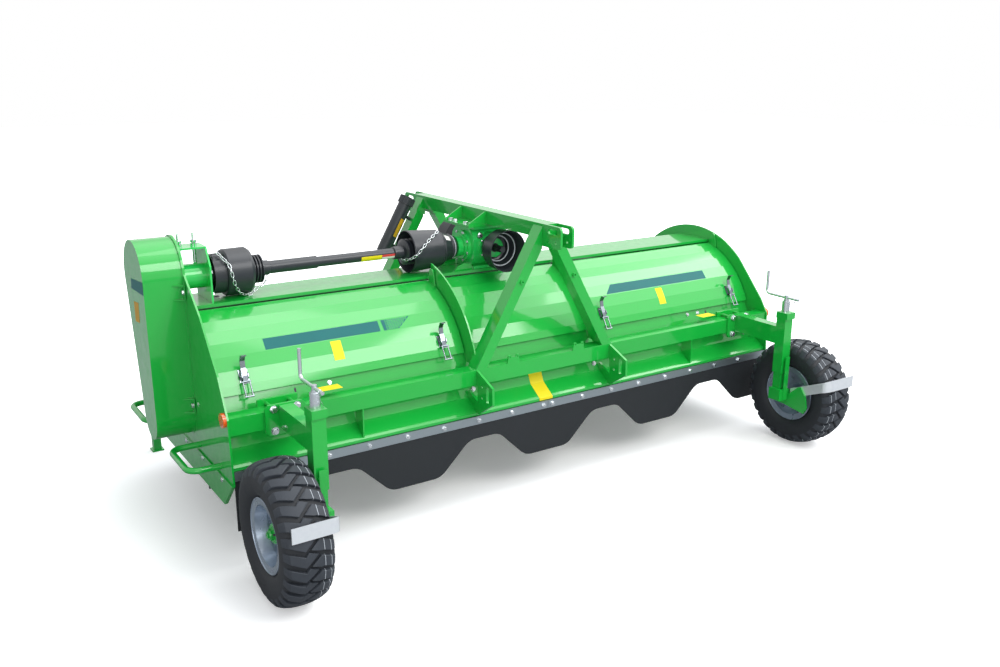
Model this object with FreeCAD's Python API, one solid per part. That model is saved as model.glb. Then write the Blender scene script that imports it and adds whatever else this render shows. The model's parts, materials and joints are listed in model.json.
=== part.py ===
import FreeCAD, Part
import math
import os

# Haulm topper: a mounted flail topper for potato tops, 4 rows wide, with a belt drive at its
# left end, two support wheels behind and two parking stands in front.
# Millimetres. X runs along the rotor (left is -X), Y points forwards, Z is up from the ground.
# The model is laid out about the middle of the rotor and the middle of the headstock, and is
# moved at the end so that its origin lies under the centre of its footprint.

# ---- driving dimensions -------------------------------------------------------------------
ROW_PITCH = 750.0            # spacing of the potato ridges
ROW_COUNT = 4
BODY_HALF = 1592.0           # inner face of a side plate, from the middle
SIDE_PLATE = 8.0             # side plate thickness
SHEET = 4.0                  # hood and apron sheet
HOOD_R = 505.0               # outer radius of the hood's folds
HOOD_Z = 510.0               # centre height of the hood
FOLD_FIRST = 26.5            # lowest fold above the horizontal, degrees
FOLD_STEP = 7.5              # angle between two folds, degrees
FOLD_COUNT = 7
LIP_ANGLE = 22.2             # lower edge of the doors, degrees
TOP_ANGLE = 74.5             # upper edge of the doors, degrees
RIB_RISE = 85.0              # dividing ribs above the circle of the folds
RIM_RISE = 70.0              # right side plate above the circle of the folds
SKIRT_BOTTOM = 249.0         # lowest edge of the side plates

CROWN_RISE = 1.0             # flat strip along the top, above the circle of the folds
CROWN_LIP_Y = 122.0
CROWN_LIP = 15.0             # depth of its folded rear lip

BEAM = 75.0                  # main beam, square tube
BEAM_WALL = 6.0
BEAM_FACE = 615.0            # outer face of a main beam, from the middle
BEAM_TOP = 657.0

TOP_BEAM_WIDTH = 80.0
TOP_BEAM_HEIGHT = 70.0
TOP_BEAM_HALF = 640.0
CLEVIS_REACH = 118.0         # clevis plates beyond the end of the top beam
CLEVIS_PLATE = 12.0
CLEVIS_DROP = 36.0           # and below its underside
CLEVIS_SLOT_R = 13.0
CLEVIS_SLOT_LENGTH = 76.0
LEG_WIDTH = 60.0
LEG_WALL = 6.0
LEG_FOOT_X = 412.0           # outer edge of a headstock leg on the main beam
LEG_DROP = 12.0              # a leg's outer edge meets the side of the top beam this far down

SHAFT_UP = 109.0             # cross shaft and gearbox axis above the crown
SHAFT_R = 17.0               # cross shaft between its joints
GEARBOX_WIDTH = 215.0
GEARBOX_DEPTH = 220.0
GEARBOX_HEAD = 111.0         # top face of the gearbox above its axis
INPUT_R = 17.45              # splined input stub
INPUT_LENGTH = 75.0
INPUT_CORE_R = 24.0          # input shaft inside the gearbox
INPUT_NECK = 35.0            # neck of the gearbox round the input shaft
INPUT_GUARD_R = 108.0        # mouth of the bell round an input stub
INPUT_GUARD_END = 270.0

ROTOR_Y = -65.0
ROTOR_Z = 525.0
ROTOR_TUBE_R = 97.0
ROTOR_SHAFT_R = 25.0
FLAIL_ROWS = 4
FLAILS_PER_ROW = 21
FLAIL_WIDTH = 40.0
FLAIL_THICK = 10.0
FLAIL_BELOW_FLAP = 39.0      # how far a flail reaches below the flap's edge

COVER_WIDTH = 167.0          # belt cover, out from the left side plate
COVER_TOP_R = 160.0
COVER_TOP_UP = 25.0          # upper pulley above the cross shaft
COVER_LOW_R = 98.0
COVER_WALL = 3.0

FLAP_BOTTOM = 164.0
FLAP_PEAK = 318.0            # top of an arch in the flap
FLAP_TOOTH = 131.0           # half of a tooth's flat edge
FLAP_ARCH = 85.0             # half of an arch's flat top
FLAP_THICK = 8.0
APRON_OFF = 5.0              # flap face of the apron behind the main beam
STRIP_HEIGHT = 40.0
STRIP_TOP = 430.0
STRIP_JOINT = 1.0            # half of the gap between its two lengths
STRIP_THICK = 4.0

WHEEL_OUT = 154.0            # middle of a tyre, outwards from its post
WHEEL_Y = -960.0
TYRE_R = 291.0
TYRE_HALF = 100.0
RIM_FLANGE_R = 152.0
RIM_HALF = 82.0
AXLE_R = 20.0
POST_IN = 236.0              # wheel posts, in from the side plates
POST_Y = -948.0
SLEEVE = 60.0
SLEEVE_WALL = 5.0
SLEEVE_BOTTOM = 425.0
SLEEVE_TOP = 761.0
POST_TRAVEL_UP = 35.0

STAND_IN = 42.0              # stands, in from the side plates
STAND_Y = 850.0
STAND_SLEEVE = 50.0
STAND_SLEEVE_BOTTOM = 420.0
STAND_SLEEVE_TOP = 660.0
STAND_FOOT = 60.0

RUNNING = 0.05               # radial clearance of a shaft in its bore
SLIDING = 0.5                # clearance of a square post in its sleeve
GAP = 4.0                    # gap round a door
SEAT = 0.3                   # paint and joint line between two seated pieces
GUARD_CLEAR = 1.5            # between the drive guards and the crown

DOOR_PIVOT_Y = -165.0
DOOR_PIVOT_UP = 24.0         # hinge pins above the crown
DOOR_PIN_R = 8.0
HOOP_R = 13.5
HOOP_NEAR = 190.0
HOOP_FAR = 500.0
HOOP_OUT = 145.0
HOOP_Z = 410.0
HOUSING_LENGTH = 122.0       # bearing housing of the cross shaft, in from the side plate

# ---- values that follow -------------------------------------------------------------------
PLATE_OUT = BODY_HALF + SIDE_PLATE
BEAM_BACK = BEAM_FACE - BEAM
BEAM_BOTTOM = BEAM_TOP - BEAM
RIB_R = HOOD_R + RIB_RISE
RIM_R = HOOD_R + RIM_RISE
CROWN_TOP = HOOD_Z + HOOD_R + CROWN_RISE
SHAFT_Z = CROWN_TOP + SHAFT_UP
GEARBOX_BOTTOM = CROWN_TOP + SEAT
GEARBOX_TOP = SHAFT_Z + GEARBOX_HEAD
CUP_R = SHAFT_Z - CROWN_TOP - GUARD_CLEAR
RIB_X = 375.0                # inner face of a dividing rib
RIB_THICK = 8.0
SHELL_IN = HOOD_R - SHEET
MOUNT_PLATE = 12.0           # plate between the gearbox and the top beam
TOP_BEAM_BOTTOM = GEARBOX_TOP + MOUNT_PLATE
TOP_BEAM_TOP = TOP_BEAM_BOTTOM + TOP_BEAM_HEIGHT
CLEVIS_BOTTOM = TOP_BEAM_BOTTOM - CLEVIS_DROP
CLEVIS_END = TOP_BEAM_HALF + CLEVIS_REACH
LEG_TOP_Z = TOP_BEAM_TOP - LEG_DROP
COVER_LEFT = PLATE_OUT + COVER_WIDTH
COVER_TOP_Z = SHAFT_Z + COVER_TOP_UP
HOUSING_END = BODY_HALF - HOUSING_LENGTH
POST_X = BODY_HALF - POST_IN
WHEEL_X = POST_X + WHEEL_OUT
STAND_X = BODY_HALF - STAND_IN
APRON_FACE = BEAM_FACE + APRON_OFF
DOOR_PIVOT_Z = CROWN_TOP + DOOR_PIVOT_UP


# ---- helpers ------------------------------------------------------------------------------
def vec(x, y, z):
    return FreeCAD.Vector(x, y, z)


def box(x0, x1, y0, y1, z0, z1):
    return Part.makeBox(x1 - x0, y1 - y0, z1 - z0, vec(x0, y0, z0))


def rod(start, end, radius):
    return Part.makeCylinder(radius, (end - start).Length, start, end - start)


def tube(start, end, outer, inner):
    return rod(start, end, outer).cut(rod(start, end, inner))


def prism(points, along):
    """Closed outline of 3-D points, drawn out along a vector."""
    return Part.Face(Part.makePolygon(points + points[:1])).extrude(along)


def prism_x(points, x0, x1):
    return prism([vec(x0, y, z) for y, z in points], vec(x1 - x0, 0, 0))


def prism_y(points, y0, y1):
    return prism([vec(x, y0, z) for x, z in points], vec(0, y1 - y0, 0))


def turned(points, centre, axis):
    """Solid of revolution: points are (along, radius) about an axis through centre."""
    axis = FreeCAD.Vector(axis).normalize()
    side = vec(0, 0, 1)
    corners = [centre + axis * a + side * r for a, r in points]
    face = Part.Face(Part.makePolygon(corners + corners[:1]))
    return face.revolve(centre, axis, 360)


def mirrored_x(shape):
    return shape.mirror(vec(0, 0, 0), vec(1, 0, 0))


def mirrored_y(shape):
    return shape.mirror(vec(0, 0, 0), vec(0, 1, 0))


def both_sides(shape):
    return Part.makeCompound(shape.Solids + mirrored_x(shape).Solids)


def front_and_back(shape):
    return Part.makeCompound(shape.Solids + mirrored_y(shape).Solids)


def fused(first, *others):
    return first.multiFuse(list(others)).removeSplitter()


def thick_line(points, thickness):
    """Outline of a bent sheet: the line itself, and the same line moved to its right."""
    moved = []
    for i, (y, z) in enumerate(points):
        before = points[max(i - 1, 0)]
        after = points[min(i + 1, len(points) - 1)]
        normals = []
        for a, b in ((before, (y, z)), ((y, z), after)):
            length = math.hypot(b[0] - a[0], b[1] - a[1])
            if length > 0:
                normals.append(((b[1] - a[1]) / length, -(b[0] - a[0]) / length))
        ny = sum(n[0] for n in normals) / len(normals)
        nz = sum(n[1] for n in normals) / len(normals)
        size = ny * ny + nz * nz
        moved.append((y + thickness * ny / size, z + thickness * nz / size))
    return points + moved[::-1]


def rounded_wire(corners, radii):
    """Closed wire through 3-D corners, each corner turned by an arc of its own radius."""
    count = len(corners)
    edges = []
    ends = []
    for i, corner in enumerate(corners):
        before = (corners[i - 1] - corner).normalize()
        after = (corners[(i + 1) % count] - corner).normalize()
        if radii[i] == 0:
            ends.append((corner, corner))
            continue
        half = before.getAngle(after) / 2
        reach = radii[i] / math.tan(half)
        middle = corner + (before + after).normalize() * (radii[i] / math.sin(half) - radii[i])
        start = corner + before * reach
        end = corner + after * reach
        edges.append(Part.Arc(start, middle, end).toShape())
        ends.append((start, end))
    for i in range(count):
        edges.append(Part.LineSegment(ends[i][1], ends[(i + 1) % count][0]).toShape())
    return Part.Wire(Part.__sortEdges__(edges))


def hollow_post(x, y, z0, z1, size, wall):
    outer = box(x - size / 2, x + size / 2, y - size / 2, y + size / 2, z0, z1)
    inner = size / 2 - wall
    return outer.cut(box(x - inner, x + inner, y - inner, y + inner, z0, z1))


# ---- hood ---------------------------------------------------------------------------------
def hood_point(angle, radius=HOOD_R):
    """Point (y, z) on the hood, its angle measured up from the rear horizontal."""
    a = math.radians(angle)
    return (-radius * math.cos(a), HOOD_Z + radius * math.sin(a))


def fold_angles():
    return [FOLD_FIRST + FOLD_STEP * k for k in range(FOLD_COUNT)]


def door_profile():
    line = [hood_point(a) for a in [LIP_ANGLE] + fold_angles() + [TOP_ANGLE]]
    return thick_line(line, SHEET)


def make_hood_shell():
    """Crown and fixed front half of the hood, one folded sheet between the side plates."""
    line = [(-CROWN_LIP_Y, CROWN_TOP - CROWN_LIP), (-CROWN_LIP_Y, CROWN_TOP), (CROWN_LIP_Y, CROWN_TOP)]
    line += [hood_point(180 - a) for a in fold_angles()[::-1] + [LIP_ANGLE]]
    shell = prism_x(thick_line(line, SHEET), -BODY_HALF, BODY_HALF)
    return fused(shell, *make_saddles())


SADDLE_Y = (-100.0, 64.0)    # plates that stand on the crown beside the gearbox
SADDLE_THICK = 6.0
SADDLE_HEIGHT = 36.0
SADDLE_FROM = 5.0            # between a saddle plate and the gearbox
SADDLE_LONG = 108.0


def make_saddles():
    x = -GEARBOX_WIDTH / 2 - SADDLE_FROM
    foot = CROWN_TOP - SHEET / 2
    outline = [(x, foot), (x - 3, CROWN_TOP + SADDLE_HEIGHT * 0.8),
               (x - SADDLE_LONG * 0.45, CROWN_TOP + SADDLE_HEIGHT),
               (x - SADDLE_LONG * 0.8, CROWN_TOP + SADDLE_HEIGHT * 0.6), (x - SADDLE_LONG, foot)]
    return [prism_y(outline, y, y + SADDLE_THICK) for y in SADDLE_Y]


def make_centre_panel():
    return prism_x(door_profile(), -RIB_X, RIB_X)


RIB_END_Y = -145.0


def make_dividers():
    """Curved ribs that stand out of the hood at both ends of the centre panel."""
    ring = rod(vec(RIB_X, 0, HOOD_Z), vec(RIB_X + RIB_THICK, 0, HOOD_Z), RIB_R)
    inner = SHELL_IN - 6
    ring = ring.cut(rod(vec(RIB_X, 0, HOOD_Z), vec(RIB_X + RIB_THICK, 0, HOOD_Z), inner))
    window = box(RIB_X, RIB_X + RIB_THICK, -RIB_R, RIB_END_Y, BEAM_TOP, HOOD_Z + RIB_R)
    rib = ring.common(window)
    pin_end = RIB_X + RIB_THICK + GAP + LUG_THICK
    pin = rod(vec(RIB_X, DOOR_PIVOT_Y, DOOR_PIVOT_Z), vec(pin_end, DOOR_PIVOT_Y, DOOR_PIVOT_Z), DOOR_PIN_R)
    leg = mirrored_x(prism_y(leg_outline(0), -BEAM_FACE, -BEAM_BACK))
    return both_sides(fused(rib.cut(leg), pin))


LUG_THICK = 8.0
LUG_R = 20.0


def door_lug(x0):
    """Hinge ear on a door's end: a round eye on a foot that stands on the sheet."""
    eye = rod(vec(x0, DOOR_PIVOT_Y, DOOR_PIVOT_Z), vec(x0 + LUG_THICK, DOOR_PIVOT_Y, DOOR_PIVOT_Z), LUG_R)
    foot_rear = hood_point(fold_angles()[-2] + 3)
    foot = [(DOOR_PIVOT_Y + LUG_R, DOOR_PIVOT_Z), (DOOR_PIVOT_Y - LUG_R, DOOR_PIVOT_Z),
            foot_rear, hood_point(TOP_ANGLE - 1, SHELL_IN + SHEET / 2),
            (DOOR_PIVOT_Y + LUG_R, HOOD_Z + HOOD_R * 0.97)]
    return eye.fuse(prism_x(foot, x0, x0 + LUG_THICK))


def make_door(side):
    """One hood door, hinged on two pins above its top edge."""
    x0 = RIB_X + RIB_THICK + GAP
    x1 = BODY_HALF - GAP
    panel = prism_x(door_profile(), x0, x1)
    inside = rod(vec(x0, 0, HOOD_Z), vec(x1, 0, HOOD_Z), SHELL_IN - 1)
    lugs = Part.makeCompound([door_lug(x0), door_lug(x1 - LUG_THICK)]).cut(inside)
    door = fused(panel, *lugs.Solids)
    pins = rod(vec(x0 - GAP, DOOR_PIVOT_Y, DOOR_PIVOT_Z), vec(x1 + GAP, DOOR_PIVOT_Y, DOOR_PIVOT_Z),
               DOOR_PIN_R + RUNNING)
    door = door.cut(pins)
    return door if side > 0 else mirrored_x(door)


APRON_TUCK_IN = 19.6          # upper edge of the apron behind the lip of the doors
APRON_FOLD_Z = 498.0
APRON_LOW_Z = 443.0
APRON_END = 372.0


def apron_line():
    lip_y, lip_z = hood_point(LIP_ANGLE)
    return [(-APRON_FACE, APRON_END), (-APRON_FACE, APRON_LOW_Z), (-BEAM_BACK, APRON_FOLD_Z),
            (lip_y + APRON_TUCK_IN, lip_z)]


def make_apron():
    """Folded apron outside the rotor: it passes inside the main beam and carries the flap."""
    return prism_x(thick_line(apron_line(), SHEET), -BODY_HALF, BODY_HALF)


# ---- side plates --------------------------------------------------------------------------
PLATE_SHOULDER = (-568.0, 733.0)
PLATE_KNEE = (-621.0, 654.0)
PLATE_HEEL = (-640.0, 372.0)
PLATE_TOE = (-521.0, SKIRT_BOTTOM)
LEFT_NECK = (-343.0, 1027.0)
LEFT_SHOULDER = (-533.0, 814.0)
LEFT_TOP_R = 167.0


def plate_from(rear_points, top_arc, x0):
    """Side plate whose rear outline is mirrored to the front and closed by an arc over the top."""
    rear = [vec(x0, y, z) for y, z in rear_points]
    front = [vec(x0, -y, z) for y, z in rear_points]
    edges = [Part.Arc(rear[-1], vec(x0, 0, top_arc), front[-1]).toShape()]
    for line in (rear, front):
        edges += [Part.LineSegment(a, b).toShape() for a, b in zip(line, line[1:])]
    edges.append(Part.LineSegment(rear[0], front[0]).toShape())
    return Part.Face(Part.Wire(Part.__sortEdges__(edges))).extrude(vec(SIDE_PLATE, 0, 0))


RIM_START_Z = 944.0          # where the arc over the right side plate starts


def make_side_plate_right():
    start = math.degrees(math.asin((RIM_START_Z - HOOD_Z) / RIM_R))
    rear = [PLATE_TOE, PLATE_HEEL, PLATE_KNEE, PLATE_SHOULDER, hood_point(start, RIM_R)]
    plate = plate_from(rear, HOOD_Z + RIM_R, BODY_HALF)
    return fused(plate, side_pin())


def side_pin():
    """Hinge pin of a door, welded to the inside of the side plate."""
    end = BODY_HALF - GAP - LUG_THICK
    return rod(vec(end, DOOR_PIVOT_Y, DOOR_PIVOT_Z), vec(BODY_HALF, DOOR_PIVOT_Y, DOOR_PIVOT_Z), DOOR_PIN_R)


def make_side_plate_left():
    neck = (-LEFT_TOP_R + 2, 1170.0)
    rear = [PLATE_TOE, PLATE_HEEL, PLATE_KNEE, LEFT_SHOULDER, LEFT_NECK, neck]
    plate = plate_from(rear, COVER_TOP_Z + LEFT_TOP_R, -PLATE_OUT)
    return fused(plate, mirrored_x(side_pin()))


SKIRT_TOP = 376.0
SKIRT_THICK = 6.0


def make_skirt_plates():
    """Wear strips bolted along the foot of each side plate."""
    outline = [(PLATE_TOE[0], PLATE_TOE[1]), PLATE_HEEL, (PLATE_HEEL[0] + 1, SKIRT_TOP),
               (-PLATE_HEEL[0] - 1, SKIRT_TOP), (-PLATE_HEEL[0], PLATE_HEEL[1]),
               (-PLATE_TOE[0], PLATE_TOE[1])]
    return both_sides(prism_x(outline, PLATE_OUT, PLATE_OUT + SKIRT_THICK))


REFLECTOR_R = 31.0
REFLECTOR_Y = -588.0
REFLECTOR_Z = 648.0
REFLECTOR_THICK = 14.0


def make_reflectors():
    start = vec(PLATE_OUT, REFLECTOR_Y, REFLECTOR_Z)
    return both_sides(rod(start, start + vec(REFLECTOR_THICK, 0, 0), REFLECTOR_R))


# ---- beams and headstock ------------------------------------------------------------------
TAB_X = 199.0
TAB_FOOT = 36.0              # half of a tab's width where it stands on the beam
TAB_HEAD = 31.0              # half of its width at the top
TAB_HEIGHT = 40.0
TAB_THICK = 6.0


def make_beam_tabs():
    top = BEAM_TOP + TAB_HEIGHT
    dip = top - 10
    outline = [(-TAB_FOOT, BEAM_TOP), (-TAB_HEAD, dip), (-TAB_HEAD, top), (-TAB_HEAD + 14, top),
               (-TAB_HEAD + 18, dip), (TAB_HEAD - 18, dip), (TAB_HEAD - 14, top), (TAB_HEAD, top),
               (TAB_HEAD, dip), (TAB_FOOT, BEAM_TOP)]
    tab = prism_y([(TAB_X + x, z) for x, z in outline], -BEAM_FACE, -BEAM_FACE + TAB_THICK)
    for side in (-1, 1):
        x = TAB_X + side * (TAB_HEAD - 9)
        tab = tab.cut(rod(vec(x, -BEAM_FACE, dip), vec(x, -BEAM_BACK, dip), 4))
    return [tab, mirrored_x(tab)]


def make_main_beams():
    """Square tubes behind and in front of the hood; the rear one carries two drilled tabs."""
    w = BEAM_WALL
    outer = box(-BODY_HALF, BODY_HALF, -BEAM_FACE, -BEAM_BACK, BEAM_BOTTOM, BEAM_TOP)
    inner = box(-BODY_HALF + w, BODY_HALF - w, -BEAM_FACE + w, -BEAM_BACK - w, BEAM_BOTTOM + w, BEAM_TOP - w)
    beam = outer.cut(inner)
    return Part.makeCompound([fused(beam, *make_beam_tabs()), mirrored_y(beam)])


def leg_outline(wall):
    """Outline (x, z) of a left leg: a slanting tube cut off at the main beam and the top beam."""
    half = TOP_BEAM_WIDTH / 2
    slope = (LEG_TOP_Z - BEAM_TOP) / (LEG_FOOT_X - half)
    outer = -LEG_FOOT_X + wall
    inner = -LEG_FOOT_X + LEG_WIDTH - wall
    return [(outer, BEAM_TOP), (inner, BEAM_TOP), (-half, BEAM_TOP + (-half - inner) * slope),
            (-half, BEAM_TOP + (-half - outer) * slope)]


LEG_BOSS_Z = 1050.0
LEG_BOSS_R = 11.0


def make_legs():
    """The two rear headstock legs, each with a tapped boss half-way up."""
    solid = prism_y(leg_outline(0), -BEAM_FACE, -BEAM_BACK)
    room = prism_y(leg_outline(LEG_WALL), -BEAM_FACE + LEG_WALL, -BEAM_BACK - LEG_WALL)
    slope = (LEG_TOP_Z - BEAM_TOP) / (LEG_FOOT_X - TOP_BEAM_WIDTH / 2)
    x = -LEG_FOOT_X + LEG_WIDTH / 2 + (LEG_BOSS_Z - BEAM_TOP) / slope
    boss = rod(vec(x, -BEAM_FACE - 10, LEG_BOSS_Z), vec(x, -BEAM_FACE, LEG_BOSS_Z), LEG_BOSS_R)
    boss = boss.cut(rod(vec(x, -BEAM_FACE - 10, LEG_BOSS_Z), vec(x, -BEAM_FACE, LEG_BOSS_Z), 5))
    return both_sides(fused(solid.cut(room), boss))


CLEVIS_CORNER = 20.0


def make_top_beam():
    """Beam across the headstock, with a slotted clevis at each end."""
    half = TOP_BEAM_WIDTH / 2
    outer = box(-half, half, -TOP_BEAM_HALF, TOP_BEAM_HALF, TOP_BEAM_BOTTOM, TOP_BEAM_TOP)
    w = LEG_WALL
    end = TOP_BEAM_HALF - w
    inner = box(-half + w, half - w, -end, end, TOP_BEAM_BOTTOM + w, TOP_BEAM_TOP - w)
    beam = outer.cut(inner)
    x0 = half - CLEVIS_PLATE
    corners = [vec(x0, y, z) for y, z in ((-CLEVIS_END, CLEVIS_BOTTOM), (-CLEVIS_END, TOP_BEAM_TOP),
                                          (-TOP_BEAM_HALF, TOP_BEAM_TOP), (-TOP_BEAM_HALF, TOP_BEAM_BOTTOM),
                                          (-BEAM_BACK, TOP_BEAM_BOTTOM), (-BEAM_BACK, CLEVIS_BOTTOM))]
    wire = rounded_wire(corners, [CLEVIS_CORNER, CLEVIS_CORNER, 0, 0, 0, 0])
    plate = Part.Face(wire).extrude(vec(CLEVIS_PLATE, 0, 0))
    ears = [plate, mirrored_x(plate), mirrored_y(plate), mirrored_x(mirrored_y(plate))]
    beam = fused(beam, *ears)
    return beam.cut(clevis_cuts())


CLEVIS_SLOT_IN = 64.0        # centre of a slot, in from the clevis end
CLEVIS_SLOT_DOWN = 28.0      # and down from the top of the beam
CLEVIS_HOLE_R = 8.0
CLEVIS_HOLE_DOWN = 78.0


def clevis_cuts():
    x = TOP_BEAM_WIDTH
    reach = CLEVIS_SLOT_LENGTH / 2 - CLEVIS_SLOT_R
    middle = CLEVIS_SLOT_IN - CLEVIS_END
    slot_z = TOP_BEAM_TOP - CLEVIS_SLOT_DOWN
    hole_z = TOP_BEAM_TOP - CLEVIS_HOLE_DOWN
    cuts = [box(-x, x, middle - reach, middle + reach, slot_z - CLEVIS_SLOT_R, slot_z + CLEVIS_SLOT_R)]
    for y in (middle - reach, middle + reach):
        cuts.append(rod(vec(-x, y, slot_z), vec(x, y, slot_z), CLEVIS_SLOT_R))
        cuts.append(rod(vec(-x, y, hole_z), vec(x, y, hole_z), CLEVIS_HOLE_R))
    return Part.makeCompound(cuts + [mirrored_y(c) for c in cuts])


LINK_X = 399.0
LINK_PLATE = 12.0
LINK_REACH = 135.0           # a link plate's corner behind the beam
LINK_SLOT_BACK = 95.0        # its slot behind the beam
LINK_SLOT_DOWN = 25.0        # and below the beam's underside
LINK_SLOT_R = 12.0
LINK_SLOT_LENGTH = 80.0
LINK_HOLE_R = 7.0
LINK_HOLES_BACK = 45.0


def make_link_brackets():
    """Lower link plates: one on each side of the headstock, behind and in front."""
    face = -BEAM_FACE
    inner = -BEAM_BACK
    outline = [(face, BEAM_TOP - 3), (face - LINK_REACH, BEAM_BOTTOM + 18),
               (face - LINK_REACH - 2, BEAM_BOTTOM - 62), (-APRON_FACE - 14, STRIP_TOP + 10),
               (-APRON_FACE, APRON_LOW_Z), (inner, APRON_FOLD_Z),
               (inner, APRON_FOLD_Z + 38), (-APRON_FACE - 8, APRON_FOLD_Z - 1), (-APRON_FACE, BEAM_BOTTOM),
               (face, BEAM_BOTTOM)]
    x1 = LINK_X + LINK_PLATE
    plate = prism_x(outline, LINK_X, x1)
    reach = LINK_SLOT_LENGTH / 2 - LINK_SLOT_R
    slot_y = face - LINK_SLOT_BACK
    slot_z = BEAM_BOTTOM - LINK_SLOT_DOWN
    cuts = [box(LINK_X, x1, slot_y - LINK_SLOT_R, slot_y + LINK_SLOT_R, slot_z - reach, slot_z + reach)]
    for z in (slot_z - reach, slot_z + reach):
        cuts.append(rod(vec(LINK_X, slot_y, z), vec(x1, slot_y, z), LINK_SLOT_R))
        hole_y = face - LINK_HOLES_BACK
        cuts.append(rod(vec(LINK_X, hole_y, z), vec(x1, hole_y, z), LINK_HOLE_R))
    plate = plate.cut(cuts)
    return both_sides(front_and_back(plate))


GUSSET_X = 1000.0
GUSSET_THICK = 6.0


def make_gussets():
    """Plates that stiffen the lower facet of the aprons from the underside of the beams."""
    share = APRON_OFF / (APRON_FACE - BEAM_BACK)
    meets = APRON_LOW_Z + share * (APRON_FOLD_Z - APRON_LOW_Z)
    outline = [(-BEAM_FACE, BEAM_BOTTOM), (-BEAM_FACE, meets), (-BEAM_BACK, APRON_FOLD_Z),
               (-BEAM_BACK, BEAM_BOTTOM)]
    plate = prism_x(outline, GUSSET_X - GUSSET_THICK / 2, GUSSET_X + GUSSET_THICK / 2)
    return both_sides(front_and_back(plate))


# ---- flaps --------------------------------------------------------------------------------
def flap_edge(x):
    """Height of the flap's lower edge: low between the ridges, arched over each one."""
    from_tooth = abs((x + ROW_PITCH / 2) % ROW_PITCH - ROW_PITCH / 2)
    run = ROW_PITCH / 2 - FLAP_TOOTH - FLAP_ARCH
    share = min(max((from_tooth - FLAP_TOOTH) / run, 0), 1)
    return FLAP_BOTTOM + share * (FLAP_PEAK - FLAP_BOTTOM)


FLAP_ROUND = 90.0
FLAP_END_GAP = 3.0


def make_flap():
    """Rubber flap with an arch over each ridge."""
    half = BODY_HALF - FLAP_END_GAP
    y = -APRON_FACE
    corners = [(-half, STRIP_TOP), (-half, FLAP_BOTTOM)]
    radii = [0, 0]
    for row in range(ROW_COUNT):
        centre = (row - (ROW_COUNT - 1) / 2) * ROW_PITCH
        low = ROW_PITCH / 2 - FLAP_TOOTH
        corners += [(centre - low, FLAP_BOTTOM), (centre - FLAP_ARCH, FLAP_PEAK),
                    (centre + FLAP_ARCH, FLAP_PEAK), (centre + low, FLAP_BOTTOM)]
        radii += [FLAP_ROUND] * 4
    corners += [(half, FLAP_BOTTOM), (half, STRIP_TOP)]
    radii += [0, 0]
    wire = rounded_wire([vec(x, y, z) for x, z in corners], radii)
    return Part.Face(wire).extrude(vec(0, -FLAP_THICK, 0))


def make_flap_strip():
    """Zinc-plated clamping strip in two lengths, over the top edge of the flap."""
    y1 = -APRON_FACE - FLAP_THICK
    half = BODY_HALF - FLAP_END_GAP
    right = box(STRIP_JOINT, half, y1 - STRIP_THICK, y1, STRIP_TOP - STRIP_HEIGHT, STRIP_TOP)
    return both_sides(right)


# ---- drive --------------------------------------------------------------------------------
MOUNT_HALF_X = 148.0
MOUNT_HALF_Y = 125.0
MOUNT_RIB = 8.0


def make_gearbox():
    """Cast angle gearbox: body with an output neck to the left and two input necks."""
    half = GEARBOX_WIDTH / 2
    deep = GEARBOX_DEPTH / 2
    top = GEARBOX_TOP
    body = box(-half, half, -deep, deep, GEARBOX_BOTTOM, top)
    outer = rod(vec(-half, 0, SHAFT_Z), vec(half, 0, SHAFT_Z), 118)
    body = body.common(outer)
    foot = box(-half, half, -deep, deep, GEARBOX_BOTTOM, GEARBOX_BOTTOM + 14)
    head = box(-half, half, -deep, deep, top - 14, top)
    neck = rod(vec(-half - 55, 0, SHAFT_Z), vec(-half, 0, SHAFT_Z), 54)
    flange = rod(vec(-half - 16, 0, SHAFT_Z), vec(-half, 0, SHAFT_Z), 84)
    ring = rod(vec(-half - 26, 0, SHAFT_Z), vec(-half, 0, SHAFT_Z), 70)
    inputs = rod(vec(0, -deep - INPUT_NECK, SHAFT_Z), vec(0, deep + INPUT_NECK, SHAFT_Z), 50)
    plates = rod(vec(0, -deep - 12, SHAFT_Z), vec(0, deep + 12, SHAFT_Z), 78)
    body = fused(body, foot, head, neck, flange, ring, inputs, plates)
    core = deep + INPUT_NECK
    body = body.cut(rod(vec(0, -core, SHAFT_Z), vec(0, core, SHAFT_Z), INPUT_CORE_R + RUNNING))
    return body.cut(rod(vec(-half - 60, 0, SHAFT_Z), vec(-INPUT_R * 2, 0, SHAFT_Z), SHAFT_R + RUNNING))


def make_gearbox_mount():
    """Plate welded under the top beam with its four ribs; the gearbox hangs from it."""
    beam_half = TOP_BEAM_WIDTH / 2
    plate = box(-MOUNT_HALF_X, MOUNT_HALF_X, -MOUNT_HALF_Y, MOUNT_HALF_Y, TOP_BEAM_BOTTOM - MOUNT_PLATE,
                TOP_BEAM_BOTTOM)
    rib = [(-beam_half, TOP_BEAM_BOTTOM), (-beam_half, TOP_BEAM_TOP - 6), (-beam_half - 8, TOP_BEAM_TOP - 6),
           (-MOUNT_HALF_X + 4, TOP_BEAM_BOTTOM + 8), (-MOUNT_HALF_X + 4, TOP_BEAM_BOTTOM)]
    ribs = []
    for y in (-MOUNT_HALF_Y + 4, MOUNT_HALF_Y - 4 - MOUNT_RIB):
        left = prism_y(rib, y, y + MOUNT_RIB)
        ribs += [left, mirrored_x(left)]
    return fused(plate, *ribs)


def make_input_shaft():
    core = GEARBOX_DEPTH / 2 + INPUT_NECK
    end = core + INPUT_LENGTH
    stubs = rod(vec(0, -end, SHAFT_Z), vec(0, end, SHAFT_Z), INPUT_R)
    return fused(stubs, rod(vec(0, -core, SHAFT_Z), vec(0, core, SHAFT_Z), INPUT_CORE_R))


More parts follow.
